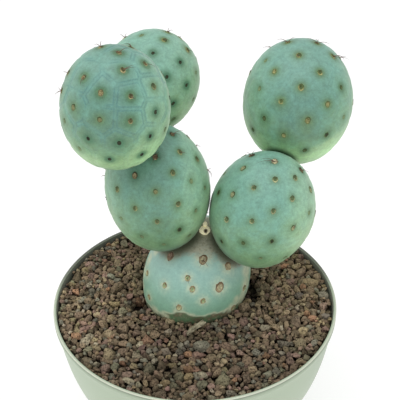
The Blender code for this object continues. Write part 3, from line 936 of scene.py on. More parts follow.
def lava_finish():
    """Rough lava: each grain its own colour with painted light and shade, mottled and full of small pores."""
    finish = Finish("lava_grain", Specular_IOR_Level=0.25)
    mottle = finish.noise(1.1 * MM, 4.0, 0.65)
    speck = finish.noise(0.32 * MM, 3.0, 0.7)
    pores = finish.cells(0.8 * MM).ease(0.1, 0.5)
    brightness = (mottle * 2.0 + speck * 0.8 - 0.25) * (0.45 + pores * 0.75)
    relief = finish.bump(mottle * 0.5 + pores * 0.6 + speck * 0.4, 0.4 * MM, 1.0)
    return finish.done(
        Base_Color=finish.shade(finish.stored("lava", "Color"), brightness), Roughness=0.86 + speck * 0.12,
        Normal=relief,
    )


def bed_finish(grit):
    """Dark fines between and under the grains."""
    finish = Finish("grit_bed", Specular_IOR_Level=0.2)
    lumps = finish.cells(1.8 * MM)
    fine = finish.noise(0.7 * MM, 4.0, 0.65)
    body = finish.mix(fine.ease(0.3, 0.7), tone(38, 30, 25), grit.bed)
    return finish.done(
        Base_Color=finish.shade(body, 1.1 - lumps * 0.5), Roughness=0.9 + fine * 0.1,
        Normal=finish.bump(fine - lumps, 0.5 * MM, 0.9),
    )


def stalk_finish(grit):
    """Dry stalk with fibres along it."""
    finish = Finish("dry_stalk")
    drawn_out = finish.node(
        "ShaderNodeMapping", {"vector_type": "TEXTURE"},
        {"Vector": finish.place, "Rotation": (0, 0, math.radians(32)), "Scale": (6.0, 1.0, 1.0)},
        output="Vector",
    )
    fibre = finish.noise(0.5 * MM, 3.0, 0.6, drawn_out)
    body = finish.mix(fibre.ease(0.3, 0.7), tone(84, 76, 58), grit.stalk)
    relief = finish.bump(fibre, 0.2 * MM, 0.8)
    return finish.done(Base_Color=body, Roughness=0.75 + fibre * 0.2, Normal=relief)


def pot_finish(pot):
    """Satin plastic, dull with dust on its inner wall, with a painted highlight on the rim's lip and painted
    shadow in the groove under it. The rim's top takes the inner wall's colour, more so towards the rear, and
    the inner wall is darker towards the rear.
    """
    finish = Finish("moulded_plastic")
    cloud = finish.noise(22 * MM, 3.0)
    grain = finish.noise(0.5 * MM, 2.0)
    dust = finish.noise(2.4 * MM, 5.0, 0.65)
    inner = (finish.stored("inner") + (dust - 0.5) * 0.25).ease(0.35, 0.75)
    shell = finish.shade(pot.shell, 0.95 + cloud * 0.08 + grain * 0.03)
    # Painted highlight along the rim's lip, and painted shadow in the groove under it.
    shell = finish.mix(finish.stored("lip") * 0.7, shell, tone(224, 226, 208))
    shell = finish.shade(shell, 1 - finish.stored("seam") * 0.5)
    # The inner wall is darker towards the rear.
    lining = finish.shade(pot.inside, (0.7 + dust * 0.6) * (1 - finish.stored("soil") * 0.55))
    return finish.done(
        Base_Color=finish.mix(inner, shell, lining),
        Roughness=pot.roughness + (grain - 0.5) * 0.08 + inner * 0.3,
        Normal=finish.bump(grain + dust * inner * 3.0, 0.02 * MM, 0.5),
    )


def floor_finish(studio):
    """Plain pale floor with the faintest mottle."""
    finish = Finish("studio_floor", Specular_IOR_Level=0.0, Emission_Strength=0.66)
    cloud = finish.noise(0.4, 2.0)
    body = finish.shade(studio.floor, 0.99 + cloud * 0.01)
    return finish.done(Base_Color=finish.shade(body, 0.5), Emission_Color=body, Roughness=0.9 + cloud * 0.1)


# The pot

def bowl_radius(height):
    """Radius of the bowl's outer side at a height."""
    depth = POT_HEIGHT - height
    return RIM_RADIUS - BEAD_PROUD - BOWL_TAPER * depth - BOWL_CURVE * depth ** 3


def bowl_inside(height, thickness):
    """Radius and height of the point at a thickness inside the bowl's outer side."""
    depth = POT_HEIGHT - height
    slope = BOWL_TAPER + 3 * BOWL_CURVE * depth ** 2
    length = math.hypot(1, slope)
    return bowl_radius(height) - thickness / length, height + thickness * slope / length


def inside_wall(thickness, floor, top):
    """Profile of the bowl's inner side from its floor up to a height."""
    points = []
    for level in range(POT_LEVELS + 1):
        height = FOOT_ROUND + (top - FOOT_ROUND) * (level / POT_LEVELS) ** 0.9
        radius, rise = bowl_inside(height, thickness)
        if floor + FOOT_ROUND / 2 < rise < top - BEAD_ROUND:
            points.append((radius, rise))
    lowest = bowl_inside(FOOT_ROUND, thickness)[0] - FOOT_ROUND / 2
    return [(lowest, floor)] + points + [(bowl_radius(top) - thickness, top)]


def arc(centre, radius, first, last, steps=5):
    """Points of an arc in the profile's plane. Its angles are in degrees, with 0 outwards and 90 up."""
    angles = [math.radians(first + (last - first) * step / steps) for step in range(steps + 1)]
    return [(centre[0] + radius * math.cos(a), centre[1] + radius * math.sin(a)) for a in angles]


def pot_profile():
    """Radius and height of points all round the pot's wall, from the floor's middle to the underside's."""
    wall_top = POT_HEIGHT - BEAD_HEIGHT
    inner_edge = bowl_radius(POT_HEIGHT) - WALL
    profile = [(0, FLOOR)] + inside_wall(WALL, FLOOR, POT_HEIGHT - BEAD_ROUND)
    profile += arc((inner_edge + BEAD_ROUND / 2, POT_HEIGHT - BEAD_ROUND / 2), BEAD_ROUND / 2, 180, 90)
    profile += arc((RIM_RADIUS - BEAD_ROUND / 2, POT_HEIGHT - BEAD_ROUND / 2), BEAD_ROUND / 2, 90, 0)
    for inwards, down in ((0, 0), (1, 1), (1, 2), (0, 3)):
        profile.append((RIM_RADIUS - inwards * GROOVE, POT_HEIGHT - LIP + GROOVE - down * GROOVE))
    profile += arc((RIM_RADIUS - BEAD_ROUND / 2, wall_top + BEAD_ROUND / 2), BEAD_ROUND / 2, 0, -80, 3)
    for level in range(1, POT_LEVELS + 1):
        height = wall_top + (FOOT_ROUND - wall_top) * level / POT_LEVELS
        profile.append((bowl_radius(height), height))
    low = bowl_radius(FOOT_ROUND)
    profile += arc((low - FOOT_ROUND, FOOT_ROUND), FOOT_ROUND, -15, -90)
    return profile + [(0, 0)]


class CACTUS_OT_pot(bpy.types.Operator):
    """The moulded bowl with its beaded rim and drain holes"""
    bl_idname = "cactus.pot"
    bl_label = "Pot"

    def execute(self, context):
        drains = []
        for hole in range(DRAIN_HOLES):
            place = DRAIN_RING * direction(360 * hole / DRAIN_HOLES, 0)
            ends = (place - 3 * FLOOR * UP, place + 3 * FLOOR * UP)
            drains.append(rod(*ends, DRAIN_RADIUS, DRAIN_RADIUS, DRAIN_SIDES, "drain"))
        mesh = cut_away(turned(pot_profile(), POT_STEPS, "bowl"), drains)
        points = coordinates(mesh)
        radius = np.hypot(points[:, 0], points[:, 1])
        below = POT_HEIGHT - points[:, 2]
        outer = bowl_radius(points[:, 2])
        inner = ease(outer - radius, 0.4 * WALL, 0.8 * WALL) * ease(points[:, 2], FLOOR * 0.8, FLOOR * 0.99)
        # The rim's top takes the inner wall's colour, partly in front and fully at the rear, and the inside
        # is darker towards the rear.
        far = ease(points[:, 1], -10 * MM, 35 * MM)
        top = (0.3 + 0.7 * far) * ease(-below, -0.25 * MM, 0)
        out = ease(radius - outer, -0.3 * MM, 0.3 * MM)
        # lip carries a painted highlight, and seam a painted shadow in the groove under the lip.
        record(
            mesh, inner=np.maximum(inner * ease(below, 0.1 * MM, 0.4 * MM), top), soil=far,
            lip=out * ease(LIP - below, 0, 2 * GROOVE),
            seam=out * bell(below - LIP - GROOVE / 2, 1.5 * GROOVE),
        )
        new_piece(mesh, pot_finish(context.scene.cactus_pot), "pot", "pot_plastic", sharp=50)
        return {"FINISHED"}


# The grit

def surface_height(radius):
    """Height of the grit's surface at a distance from the pot's axis."""
    share = np.minimum(radius / RIM_RADIUS, 1.0)
    return GRIT_AT_WALL + GRIT_RISE * (1 - share * share)


def surface_at(x, y):
    """Height of the grit's surface at a place, all in millimetres."""
    return float(surface_height(math.hypot(x, y) * MM)) / MM


def wall_radius(height):
    """Radius of the bowl's inner side at a height, both in millimetres."""
    return (bowl_radius(height * MM) - WALL) / MM - 0.1


class Bed:
    """A height map of the grit, in millimetres, on which each grain rests in the lowest of a few places."""

    def __init__(self, seed):
        self.draw = np.random.default_rng(seed)
        self.wall = wall_radius(POT_HEIGHT / MM - 2.0)
        side = np.arange(-MAP_REACH, MAP_REACH + CELL, CELL)
        self.x, self.y = np.meshgrid(side, side, indexing="ij")
        surface = surface_height(np.hypot(self.x, self.y) * MM) / MM
        self.target = surface
        for x, y, wide in HOLLOWS:
            dip = HOLLOW_DEPTH * np.exp(-((self.x - x) ** 2 + (self.y - y) ** 2) / wide ** 2)
            self.target = np.minimum(self.target, surface - dip)
        self.height = surface - BED_DROP / MM
        self.grains = []

    def cell(self, x, y):
        """Row and column of the map at a place."""
        return int(round((x + MAP_REACH) / CELL)), int(round((y + MAP_REACH) / CELL))

    def window(self, x, y, size):
        """The map's cells round a grain, and how far, squared, each lies from the grain's middle."""
        half = int(math.ceil(size / CELL))
        i, j = self.cell(x, y)
        cells = (slice(i - half, i + half + 1), slice(j - half, j + half + 1))
        away = (self.x[cells] - x) ** 2 + (self.y[cells] - y) ** 2
        return cells, away

    def rest_height(self, x, y, size, flat):
        """Height at which a grain comes to rest on what lies there."""
        cells, away = self.window(x, y, size)
        under = away < (GRAIN_CORE * size) ** 2
        dome = flat * np.sqrt(np.maximum(size ** 2 - away, 0))
        return float((self.height[cells] + dome)[under].max())

    def clear(self, x, y, z, size):
        """True where a grain stands clear of the stem and the wall."""
        if math.hypot(x, y) > wall_radius(z) - size * GRAIN_CORE:
            return False
        return outside(SEGMENTS[0], np.array([[x, y, z]]) * MM)[0] > size * 0.8 * MM

    def settle(self, x, y, z, size, flat, **facts):
        """Lays a grain down and raises the map to its top."""
        cells, away = self.window(x, y, size)
        dome = z + flat * np.sqrt(np.maximum(size ** 2 - away, 0))
        inside = away < size ** 2
        self.height[cells] = np.where(inside, np.maximum(self.height[cells], dome), self.height[cells])
        self.grains.append({"place": (x, y, z), "size": size, "flat": flat, **facts})

    def place_stones(self):
        """Lays the stones that stand out at the surface, half sunk."""
        for kind, stones in STONES.items():
            for x, y, length, width, turn in stones:
                size = math.sqrt(length * width) / 2
                radius = math.hypot(x, y)
                if radius > self.wall - size:
                    x, y = x * (self.wall - size) / radius, y * (self.wall - size) / radius
                z = surface_at(x, y) - STONE_SUNK * size
                self.settle(x, y, z, size, STONE_FLAT, kind=kind, turn=turn, long=length / width)

    def fill(self, finest, coarsest):
        """Drops grains until no more fit under the surface."""
        kinds = list(LAVA_SHARES)
        shares = np.array([LAVA_SHARES[kind] for kind in kinds], float)
        shares /= shares.sum()
        misses = 0
        while misses < GIVE_UP:
            size = self.draw.lognormal(math.log(GRAIN_RADIUS), GRAIN_SPREAD)
            size = float(np.clip(size, finest, coarsest))
            flat = float(self.draw.uniform(*GRAIN_FLAT))
            best = None
            for _ in range(TRIES):
                radius = (self.wall - GRAIN_CORE * size) * math.sqrt(self.draw.uniform())
                angle = self.draw.uniform(0, math.tau)
                x, y = radius * math.cos(angle), radius * math.sin(angle)
                z = self.rest_height(x, y, size, flat)
                room = self.target[self.cell(x, y)] - z - GRAIN_SUNK * size
                if self.clear(x, y, z, size) and (best is None or room > best[0]):
                    best = (room, x, y, z)
            if best is None or best[0] < 0:
                misses += 1
                continue
            misses = 0
            self.settle(
                *best[1:], size, flat, kind=kinds[self.draw.choice(len(kinds), p=shares)],
                turn=self.draw.uniform(0, 360), long=self.draw.uniform(*GRAIN_LONG),
            )


def chip(balls, draw):
    """Chips each ball of one unit flat along random planes and roughens it. Each row of balls is a stone."""
    count = len(balls)
    for _ in range(CHIPS):
        heading = draw.normal(size=(count, 1, 3))
        heading /= np.linalg.norm(heading, axis=2, keepdims=True)
        over = (balls * heading).sum(2, keepdims=True) - draw.uniform(*CHIP_AT, (count, 1, 1))
        balls = balls - np.maximum(over, 0) * heading
    return balls * (1 + draw.normal(size=(count, balls.shape[1], 1)) * STONE_ROUGH)


def within_wall(points):
    """Presses the grains' points in to the bowl's inner side."""
    radius = np.hypot(points[:, 0], points[:, 1])
    limit = wall_radius(points[:, 2])
    points[:, :2] *= np.minimum(1.0, limit / np.maximum(radius, 1.0))[:, None]
    return points


def painted_light_at(x, y):
    """Painted light and shade on the grit at a place: darker in front, painted shadow in the hollows, lighter
    at the sides.
    """
    side = ease(abs(x), 12, 34) * ease(y, -34, -18) * (1 - 0.45 * ease(y, 14, 26))
    deep = sum(math.exp(-((x - at_x) ** 2 + (y - at_y) ** 2) / wide ** 2) for at_x, at_y, wide in HOLLOWS)
    return (0.81 + 0.42 * side) * (1 - 0.75 * min(deep, 1.0))


def spread_stones(grains, fineness, name, seed, finish):
    """One piece of many chipped stones, each at rest in its place with its own colour."""
    template = to_mesh(egg(Vector(), UP, (1.0, 1.0, 1.0), fineness), "stone")
    mesh = copies(template, len(grains), name)
    draw = np.random.default_rng(seed)
    balls = chip(coordinates(mesh).reshape(len(grains), -1, 3), draw)
    points = []
    colours = []
    for ball, grain in zip(balls, grains):
        x, y, z = grain["place"]
        size = grain["size"]
        stretch = math.sqrt(grain["long"])
        tilts = [Matrix.Rotation(draw.normal() * STONE_TILT, 3, side) for side in ("X", "Y")]
        turn = np.array(Matrix.Rotation(math.radians(grain["turn"]), 3, "Z") @ (tilts[0] @ tilts[1]))
        sizes = np.array((stretch, 1 / stretch, grain["flat"])) * size * GRAIN_SWELL
        points.append(within_wall((ball * sizes) @ turn.T + np.array(grain["place"])))
        shade = np.array(tone(*LAVA[grain["kind"]])) * draw.uniform(*GRAIN_LIGHT)
        shade *= draw.normal(1, GRAIN_TINT, 3)
        # Painted light and shade: the grain is lighter at the sides of the pot, darker in front and in the
        # hollows, and darker the deeper it lies among the others.
        deep = surface_at(x, y) - z - grain["flat"] * size
        shade *= 0.97 * painted_light_at(x, y) * (1 - 0.5 * ease(deep, 0.5, 2.2))
        # Painted shade: each grain is darker towards its underside.
        colours.append(shade * (0.62 + 0.38 * ease(points[-1][:, 2:] - z, -0.7 * size, 0.4 * size)))
    move_to(mesh, np.concatenate(points) * MM)
    record(mesh, lava=np.clip(np.concatenate(colours), 0, 1))
    new_piece(mesh, finish, "grit", "lava_grit", sharp=32)


def root_ends():
    """Top and bottom of the root below the base segment."""
    lowest = CENTRES["stem_base"] + reach(SEGMENTS[0], -UP)
    return lowest + ROOT_RADIUS[0] * UP, lowest - ROOT_LENGTH * UP


class CACTUS_OT_bed(bpy.types.Operator):
    """The solid bed of fines that carries the grains"""
    bl_idname = "cactus.bed"
    bl_label = "Bed"

    def execute(self, context):
        bottom = FLOOR + GAP
        edge_height = float(surface_height(RIM_RADIUS)) - BED_DROP
        side = inside_wall(WALL + GAP, bottom, edge_height)[::-1]
        rings = [side[0][0] * ring / BED_RINGS for ring in range(BED_RINGS)]
        profile = [(r, float(surface_height(r)) - BED_DROP) for r in rings] + side + [(0, bottom)]
        top, low = root_ends()
        root = rod(top, low - GAP * UP, ROOT_RADIUS[0] + GAP, ROOT_RADIUS[1] + GAP, ROOT_SIDES, "root_hole")
        base = SEGMENTS[0]
        wide = base.radius * MM + GAP
        stem = egg(CENTRES[base.name], axis_of(base), (wide, wide, base.half * MM + GAP), 5)
        mesh = cut_away(turned(profile, BED_STEPS, "grit_bed"), [to_mesh(stem, "stem_hole"), root])
        new_piece(mesh, bed_finish(context.scene.cactus_grit), "grit", "lava_grit", sharp=40)
        return {"FINISHED"}


class CACTUS_OT_grains(bpy.types.Operator):
    """The loose lava grains, and the larger stones among them"""
    bl_idname = "cactus.grains"
    bl_label = "Grains"

    def execute(self, context):
        grit = context.scene.cactus_grit
        bed = Bed(grit.seed)
        bed.place_stones()
        stones = len(bed.grains)
        bed.fill(grit.finest / MM, grit.coarsest / MM)
        finish = lava_finish()
        loose = sorted(bed.grains[stones:], key=lambda grain: grain["size"], reverse=True)
        half = len(loose) // 2
        spread_stones(bed.grains[:stones], 3, "grit_stones", 11, finish)
        spread_stones(loose[:half], 2, "grit_coarse", 12, finish)
        spread_stones(loose[half:], 2, "grit_fine", 13, finish)
        return {"FINISHED"}


class CACTUS_OT_stalk(bpy.types.Operator):
    """The bit of dry stalk that lies on the grit"""
    bl_idname = "cactus.stalk"
    bl_label = "Stalk"

    def execute(self, context):
        start, end = (POT_HEIGHT * UP + place for place in STALK_ENDS)
        bm = bmesh.new()
        bm.from_mesh(rod(start, end, *STALK_RADII, 14, "stalk_core"))
        long_edges = [edge for edge in bm.edges if edge.calc_length() > 4 * MM]
        bmesh.ops.subdivide_edges(bm, edges=long_edges, cuts=12, use_grid_fill=True)
        mesh = to_mesh(bm, "stalk")
        points = coordinates(mesh)
        run = (points - np.array(start)) @ np.array((end - start).normalized()) / (end - start).length
        middle = np.array(start) + run[:, None] * np.array(end - start)
        out = points - middle
        angle = np.arctan2(out @ np.array(UP), out @ np.array((0.53, -0.85, 0)))
        ridge = 1 + 0.22 * np.sin(angle * 4 + run * 5) + 0.15 * waves(points, 2 * MM, 3)
        bow = 0.5 * MM * np.sin(run * math.pi)
        mouth = 0.35 * MM * np.sin(angle * 3) * ease(0.12 - run, 0, 0.12)
        move_to(mesh, middle + out * ridge[:, None] + (bow + mouth)[:, None] * np.array(UP))
        new_piece(mesh, stalk_finish(context.scene.cactus_grit), "grit", "lava_grit", sharp=60)
        return {"FINISHED"}


# The segments

Areole = namedtuple("Areole", "point normal tipward kind")


def sight_line(point, first, count):
    """Points on the way from a point to the viewer, from a first share of it up to half."""
    steps = np.linspace(first, 0.5, count)[:, None]
    return np.array(point) + steps * np.array(CAMERA_PLACE - point)


def in_view(segment, point, normal):
    """True where the viewer sees a point of a segment's skin."""
    if normal.dot((CAMERA_PLACE - point).normalized()) < FACING:
        return False
    return nearest_neighbour(segment, sight_line(point, 0.02, 60)).min() > 0


def hidden(point):
    """True where a segment stands between a point and the viewer."""
    return min(outside(segment, sight_line(point, 0.003, 120)).min() for segment in SEGMENTS) < 0


def make_areole(segment, unit, kind):
    """The areole on the skin in a direction of the unit sphere."""
    point, normal = skin_point(segment, unit)
    tip = axis_of(segment)
    tipward = tip - tip.dot(normal) * normal
    tipward = tipward.normalized() if tipward.length > 1e-3 else normal.orthogonal().normalized()
    return Areole(point, normal, tipward, kind)


def sides_of(areole):
    """An areole's own directions: across, towards the segment's tip and out of the skin."""
    across = areole.normal.cross(areole.tipward)
    return np.array(across), np.array(areole.tipward), np.array(areole.normal)


def spiral_directions(segment):
    """Directions of a segment's areoles on the unit sphere, tip first, with their height from 1 to -1."""
    count, step, start, crowd = segment.spiral
    tip = leaning(*segment.tip)
    across = Vector((0, 1, 0)).cross(tip).normalized()
    onward = tip.cross(across)
    for index in range(count):
        height = 1 - 2 * ((index + 0.5) / count) ** crowd
        angle = math.radians(start - step * index)
        wide = math.sqrt(1 - height * height)
        yield height, wide * math.cos(angle) * across + wide * math.sin(angle) * onward + height * tip


def areoles_of(segment):
    """The placed areoles of a segment, then those of its spiral that the viewer doesn't see."""
    areoles = []
    for kind, places in AREOLES[segment.name].items():
        areoles += [make_areole(segment, direction(*place), kind) for place in places]
    flats = [flat for flat, _ in joint_planes(segment)]
    usual = next(iter(AREOLES[segment.name]))
    for height, unit in spiral_directions(segment):
        if segment.parent is None:
            kind = "cork_ring" if height > 0.2 else "corky"
        else:
            kind = usual if height > -0.05 else "pit" if height > -0.6 else "faint"
        areole = make_areole(segment, unit, kind)
        place = areole.point
        left_out = (
            in_view(segment, place, areole.normal)
            or any((place - flat).length < JOINT_CLEAR for flat in flats)
            or any((place - other.point).length < AREOLE_APART for other in areoles)
            or nearest_neighbour(segment, np.array([place]))[0] < NEIGHBOUR_CLEAR
            or place.z < GRIT_AT_WALL + GRIT_CLEAR
        )
        if not left_out:
            areoles.append(areole)
    return areoles


def cut_flat(bm, point, outward):
    """Cuts a body off at a plane and closes it there."""
    bmesh.ops.bisect_plane(
        bm, geom=bm.verts[:] + bm.edges[:] + bm.faces[:], dist=1e-7,
        plane_co=point, plane_no=outward, clear_outer=True,
    )
    open_edges = [edge for edge in bm.edges if edge.is_boundary]
    filled = bmesh.ops.holes_fill(bm, edges=open_edges, sides=0)["faces"]
    bmesh.ops.triangulate(bm, faces=filled)


def cork_cover(segment, points):
    """Where the base segment's skin has turned to cork: between and near its joints."""
    fork = skin_point(segment, direction(*BUD_AT))[0]
    cover = fade(far_from(points, fork), 7.0 * MM, 15.0 * MM)
    for flat, _ in joint_planes(segment):
        cover = np.maximum(cover, fade(far_from(points, flat), 7.0 * MM, 12.5 * MM))
    return cover


def above_shore(segment, points):
    """Height over the wavy line near the grit where the base segment's clean skin ends."""
    centre = CENTRES[segment.name]
    azimuth = np.degrees(np.arctan2(points[:, 1] - centre.y, points[:, 0] - centre.x)) % 360
    turns, heights = zip(*SHORE)
    shore = np.interp(azimuth, turns, heights, period=360) * MM
    return points[:, 2] - shore - 0.6 * MM * waves(points, 2.2 * MM, 21)


# At a point of the skin: how far it swells, how far it lies from the nearest areole and which that is, how
# far it lies from the seam between two areoles, and how free it is of the joints, from 0 to 1
Relief = namedtuple("Relief", "swell away nearest seam free")


def relief_at(segment, areoles, points, height):
    """The skin's relief between the areoles, at points of the bare ball."""
    middles = np.array([areole.point for areole in areoles])
    distances = np.linalg.norm(points[:, None] - middles[None], axis=2)
    first, second = np.argpartition(distances, 1, axis=1)[:, :2].T
    rows = np.arange(len(points))
    away, next_away = distances[rows, first], distances[rows, second]
    apart = np.linalg.norm(middles[first] - middles[second], axis=1)
    seam = np.abs(next_away ** 2 - away ** 2) / (2 * apart)

    free = np.ones(len(points))
    for point, outward in joint_planes(segment):
        free *= ease(-((points - np.array(point)) @ np.array(outward)), 0.05 * MM, 0.9 * MM)
    clear = ease(nearest_neighbour(segment, points), 0.3 * MM, 1.6 * MM)
    pillow = ease(seam, 0.0, 1.7 * MM) * (0.35 + 0.4 * segment.net)
    dimple = bell(away, 1.5 * MM)
    groove = bell(seam - LINE_AT, 0.3 * MM) * segment.net
    hollow = 0.9 if segment.parent else 0.15
    swell = height * (pillow - 0.3 - hollow * dimple - 0.15 * groove)
    swell += 0.16 * MM * waves(points, 13 * MM, len(segment.name))
    swell = np.where(swell > 0, swell * clear, swell) * free
    return Relief(swell, away, first, seam, free)


def painted_shade_at(segment, points):
    """Painted shade: how dark the skin is painted for the segments close to it: on the base segment from
    those up to 4 mm away, and on the others up to 2 mm. The base and front segments paint shade on the others
    from further off."""
    dark = np.zeros(len(points))
    for other in SEGMENTS:
        if other is segment:
            continue
        away = outside(other, points)
        if other.parent is None:
            near = 0.5 * fade(away, 6.5 * MM, 11.5 * MM) + 0.42 * fade(away, 8.0 * MM, 18.0 * MM)
        elif segment.parent is None:
            near = fade(away, 1.2 * MM, 4.3 * MM)
        else:
            near = fade(away, 0.0, 2.2 * MM) ** 1.4
            # Painted shadow of the front segment on its neighbours, from further off.
            if other.name == "stem_left_front":
                near = np.maximum(near, 0.34 * fade(away, 2.0 * MM, 15.0 * MM))
        dark = np.maximum(dark, near)
    return dark


def skin_mesh(segment, areoles, relief):
    """A segment's body: a fine ball, cut flat at its joints, that swells gently between its areoles. Its
    vertices carry what the skin's finish goes by."""
    axis = np.array(axis_of(segment))
    centre = CENTRES[segment.name]
    radii = (segment.radius * MM, segment.radius * MM, segment.half * MM)
    bm = egg(centre, axis_of(segment), radii, SKIN_FINENESS)
    for point, outward in joint_planes(segment):
        cut_flat(bm, point, outward)
    mesh = to_mesh(bm, segment.name.replace("stem", "skin"))

    points = coordinates(mesh)
    offset = points - np.array(centre)
    up = offset @ axis
    side = offset - up[:, None] * axis
    normals = side / segment.radius ** 2 + up[:, None] * axis / segment.half ** 2
    normals /= np.linalg.norm(normals, axis=1, keepdims=True)
    across, back, lift = normals.T
    shape = relief_at(segment, areoles, points, relief)
    move_to(mesh, points + shape.swell[:, None] * normals)

    halo, glow, width = (
        np.array([getattr(KINDS[areole.kind], fact) for areole in areoles])[shape.nearest]
        for fact in ("halo", "glow", "radius")
    )
    ring = 0.55 * fade(shape.away, 0.5 * MM, 4.8 * MM) + 0.45 * fade(shape.away, 0.8 * MM, 2.6 * MM)
    net = segment.net * shape.free
    line = bell(shape.seam - LINE_AT, 0.2 * MM) + 0.25 * bell(shape.seam, 0.5 * MM)
    broken = ease(waves(points, 5 * MM, 40 + len(segment.name)), -0.5, 0.3)
    # Painted light: the segment's own tone, painted paler underneath, less so towards the back, and paler
    # towards its left and right sides.
    above, below, left, right = segment.wax
    low = ease(-lift, 0.0, 0.6) - 0.45 * ease(-lift, 0.5, 0.85)
    low *= 1 - 0.65 * ease(back, -0.25, 0.5)
    sides = 1 + left * ease(-across, 0.15, 0.85) + right * ease(across, 0.12, 0.7)
    # Painted rim light is stored where the skin faces left and right.
    record(
        mesh, lift=lift, halo=halo * ring,
        glow=glow * bell(shape.away, (1.8 if segment.parent else 2.0) * width * MM),
        line=line * broken * net, border=bell(shape.seam, 1.7 * MM) * net,
        wax=(above + (below - above) * low) * sides, flank=ease(np.abs(across), 0.45, 0.98),
        shelter=painted_shade_at(segment, points),
    )
    if segment.parent is None:
        height = above_shore(segment, points)
        shore = bell(height, 0.5 * MM)
        for azimuth, elevation, radius in PATCHES:
            away = far_from(points, skin_point(segment, direction(azimuth, elevation))[0])
            shore = np.maximum(shore, 0.9 * fade(away, 0.4 * radius * MM, 1.3 * radius * MM))
        record(mesh, cork=cork_cover(segment, points), sunk=fade(height, -0.9 * MM, 0.3 * MM), shore=shore)
    return mesh


def slot_of(segment):
    """The slot name for a segment's pieces."""
    return "skin" if segment.parent else "corky_skin"


class CACTUS_OT_skins(bpy.types.Operator):
    """The six segments' waxy bodies"""
    bl_idname = "cactus.skins"
    bl_label = "Segments"

    def execute(self, context):
        stem = context.scene.cactus_stem
        waxy = skin_finish(stem)
        corky = skin_finish(stem, corky=True)
        for segment in SEGMENTS:
            mesh = skin_mesh(segment, areoles_of(segment), stem.tubercle)
            new_piece(mesh, waxy if segment.parent else corky, segment.name, slot_of(segment), sharp=50)
        top, low = root_ends()
        new_piece(rod(top, low, *ROOT_RADIUS, ROOT_SIDES, "root"), corky, "stem_base", "corky_skin", sharp=50)
        return {"FINISHED"}


def areole_template():
    """A low felt ring with a cup, one unit in radius and in height."""
    bm = bmesh.new()
    bmesh.ops.create_circle(
        bm, cap_ends=True, segments=AREOLE_SIDES, radius=1.35, matrix=Matrix.Translation((0, 0, -0.6)),
    )
    for inset, rise in ((0.3, 0.7), (0.15, 0.65), (0.14, 0.25), (0.16, -0.15), (0.18, -0.4), (0.2, -0.15)):
        caps = [face for face in bm.faces if len(face.verts) == AREOLE_SIDES]
        top = max(caps, key=lambda face: face.calc_center_median().z)
        bmesh.ops.inset_individual(bm, faces=[top], thickness=inset, depth=rise, use_even_offset=False)
    bmesh.ops.poke(bm, faces=[face for face in bm.faces if len(face.verts) == AREOLE_SIDES])
    bmesh.ops.recalc_face_normals(bm, faces=bm.faces)
    return to_mesh(bm, "areole")


def point_up(sides, top_radius, closed):
    """A cone that stands on the origin, one unit high and one unit in radius at its foot."""
    bm = bmesh.new()
    bmesh.ops.create_cone(
        bm, cap_ends=closed, segments=sides, radius1=1.0, radius2=top_radius, depth=1.0,
        matrix=Matrix.Translation((0, 0, 0.5)),
    )
    return bm


def felt_colours(kind, shape, draw):
    """Colour of an areole's vertices, from its foot over the ring, dark on its tipward side, to the cup."""
    foot, ring, dark, cup = (np.array(tone(*shade)) for shade in (kind.foot, kind.ring, kind.dark, kind.cup))
    if draw.uniform() < 0.35:
        ring, cup = (ring + 2 * cup) / 3, (2 * ring + cup) / 3
    share = np.hypot(shape[:, 0], shape[:, 1])
    turn = draw.normal(0, 0.5)
    tipward = (shape[:, 1] * math.cos(turn) + shape[:, 0] * math.sin(turn)) / np.maximum(share, 0.1)
    gloom = ease(tipward + draw.normal(0, 0.35, len(shape)), -0.5, 0.5)[:, None]
    to_ring = ease(1.0 - share, 0.0, 0.15)[:, None]
    to_cup = ease(0.74 - share, 0.0, 0.2)[:, None]
    crest = ring * (1 - gloom) + dark * gloom
    return (foot * (1 - to_ring) + crest * to_ring) * (1 - to_cup) + cup * to_cup


def areole_mesh(segment, areoles, relief):
    """Felt rings that sit on the finished skin."""
    swells = relief_at(segment, areoles, np.array([areole.point for areole in areoles]), relief).swell
    template = areole_template()
    shape = coordinates(template)
    mesh = copies(template, len(areoles), segment.name.replace("stem", "areoles"))
    draw = np.random.default_rng(len(segment.name) + 100)
    worn = 0.18 if segment.parent else 0.24
    points = []
    colours = []
    for areole, swell in zip(areoles, swells):
        kind = KINDS[areole.kind]
        across, tipward, normal = sides_of(areole)
        wide = kind.radius * draw.uniform(*AREOLE_WIDE) * MM
        oval = draw.uniform(*AREOLE_OVAL)
        uneven = 1 + draw.normal(0, 0.07, (len(shape), 1))
        high = shape[:, 2:] * kind.height * MM
        points.append(
            np.array(areole.point) + (swell - AREOLE_SUNK) * normal
            + shape[:, :1] * wide * across * uneven + shape[:, 1:2] * wide * oval * tipward * uneven
            + high * normal * (1 + draw.normal(0, 0.15, (len(shape), 1)))
        )
        shades = felt_colours(kind, shape, draw) * draw.uniform(*FELT_LIGHT)
        colours.append(shades * draw.normal(1, worn, (len(shape), 1)))
    move_to(mesh, np.concatenate(points))
    record(mesh, felt=np.clip(np.concatenate(colours), 0, 1))
    return mesh


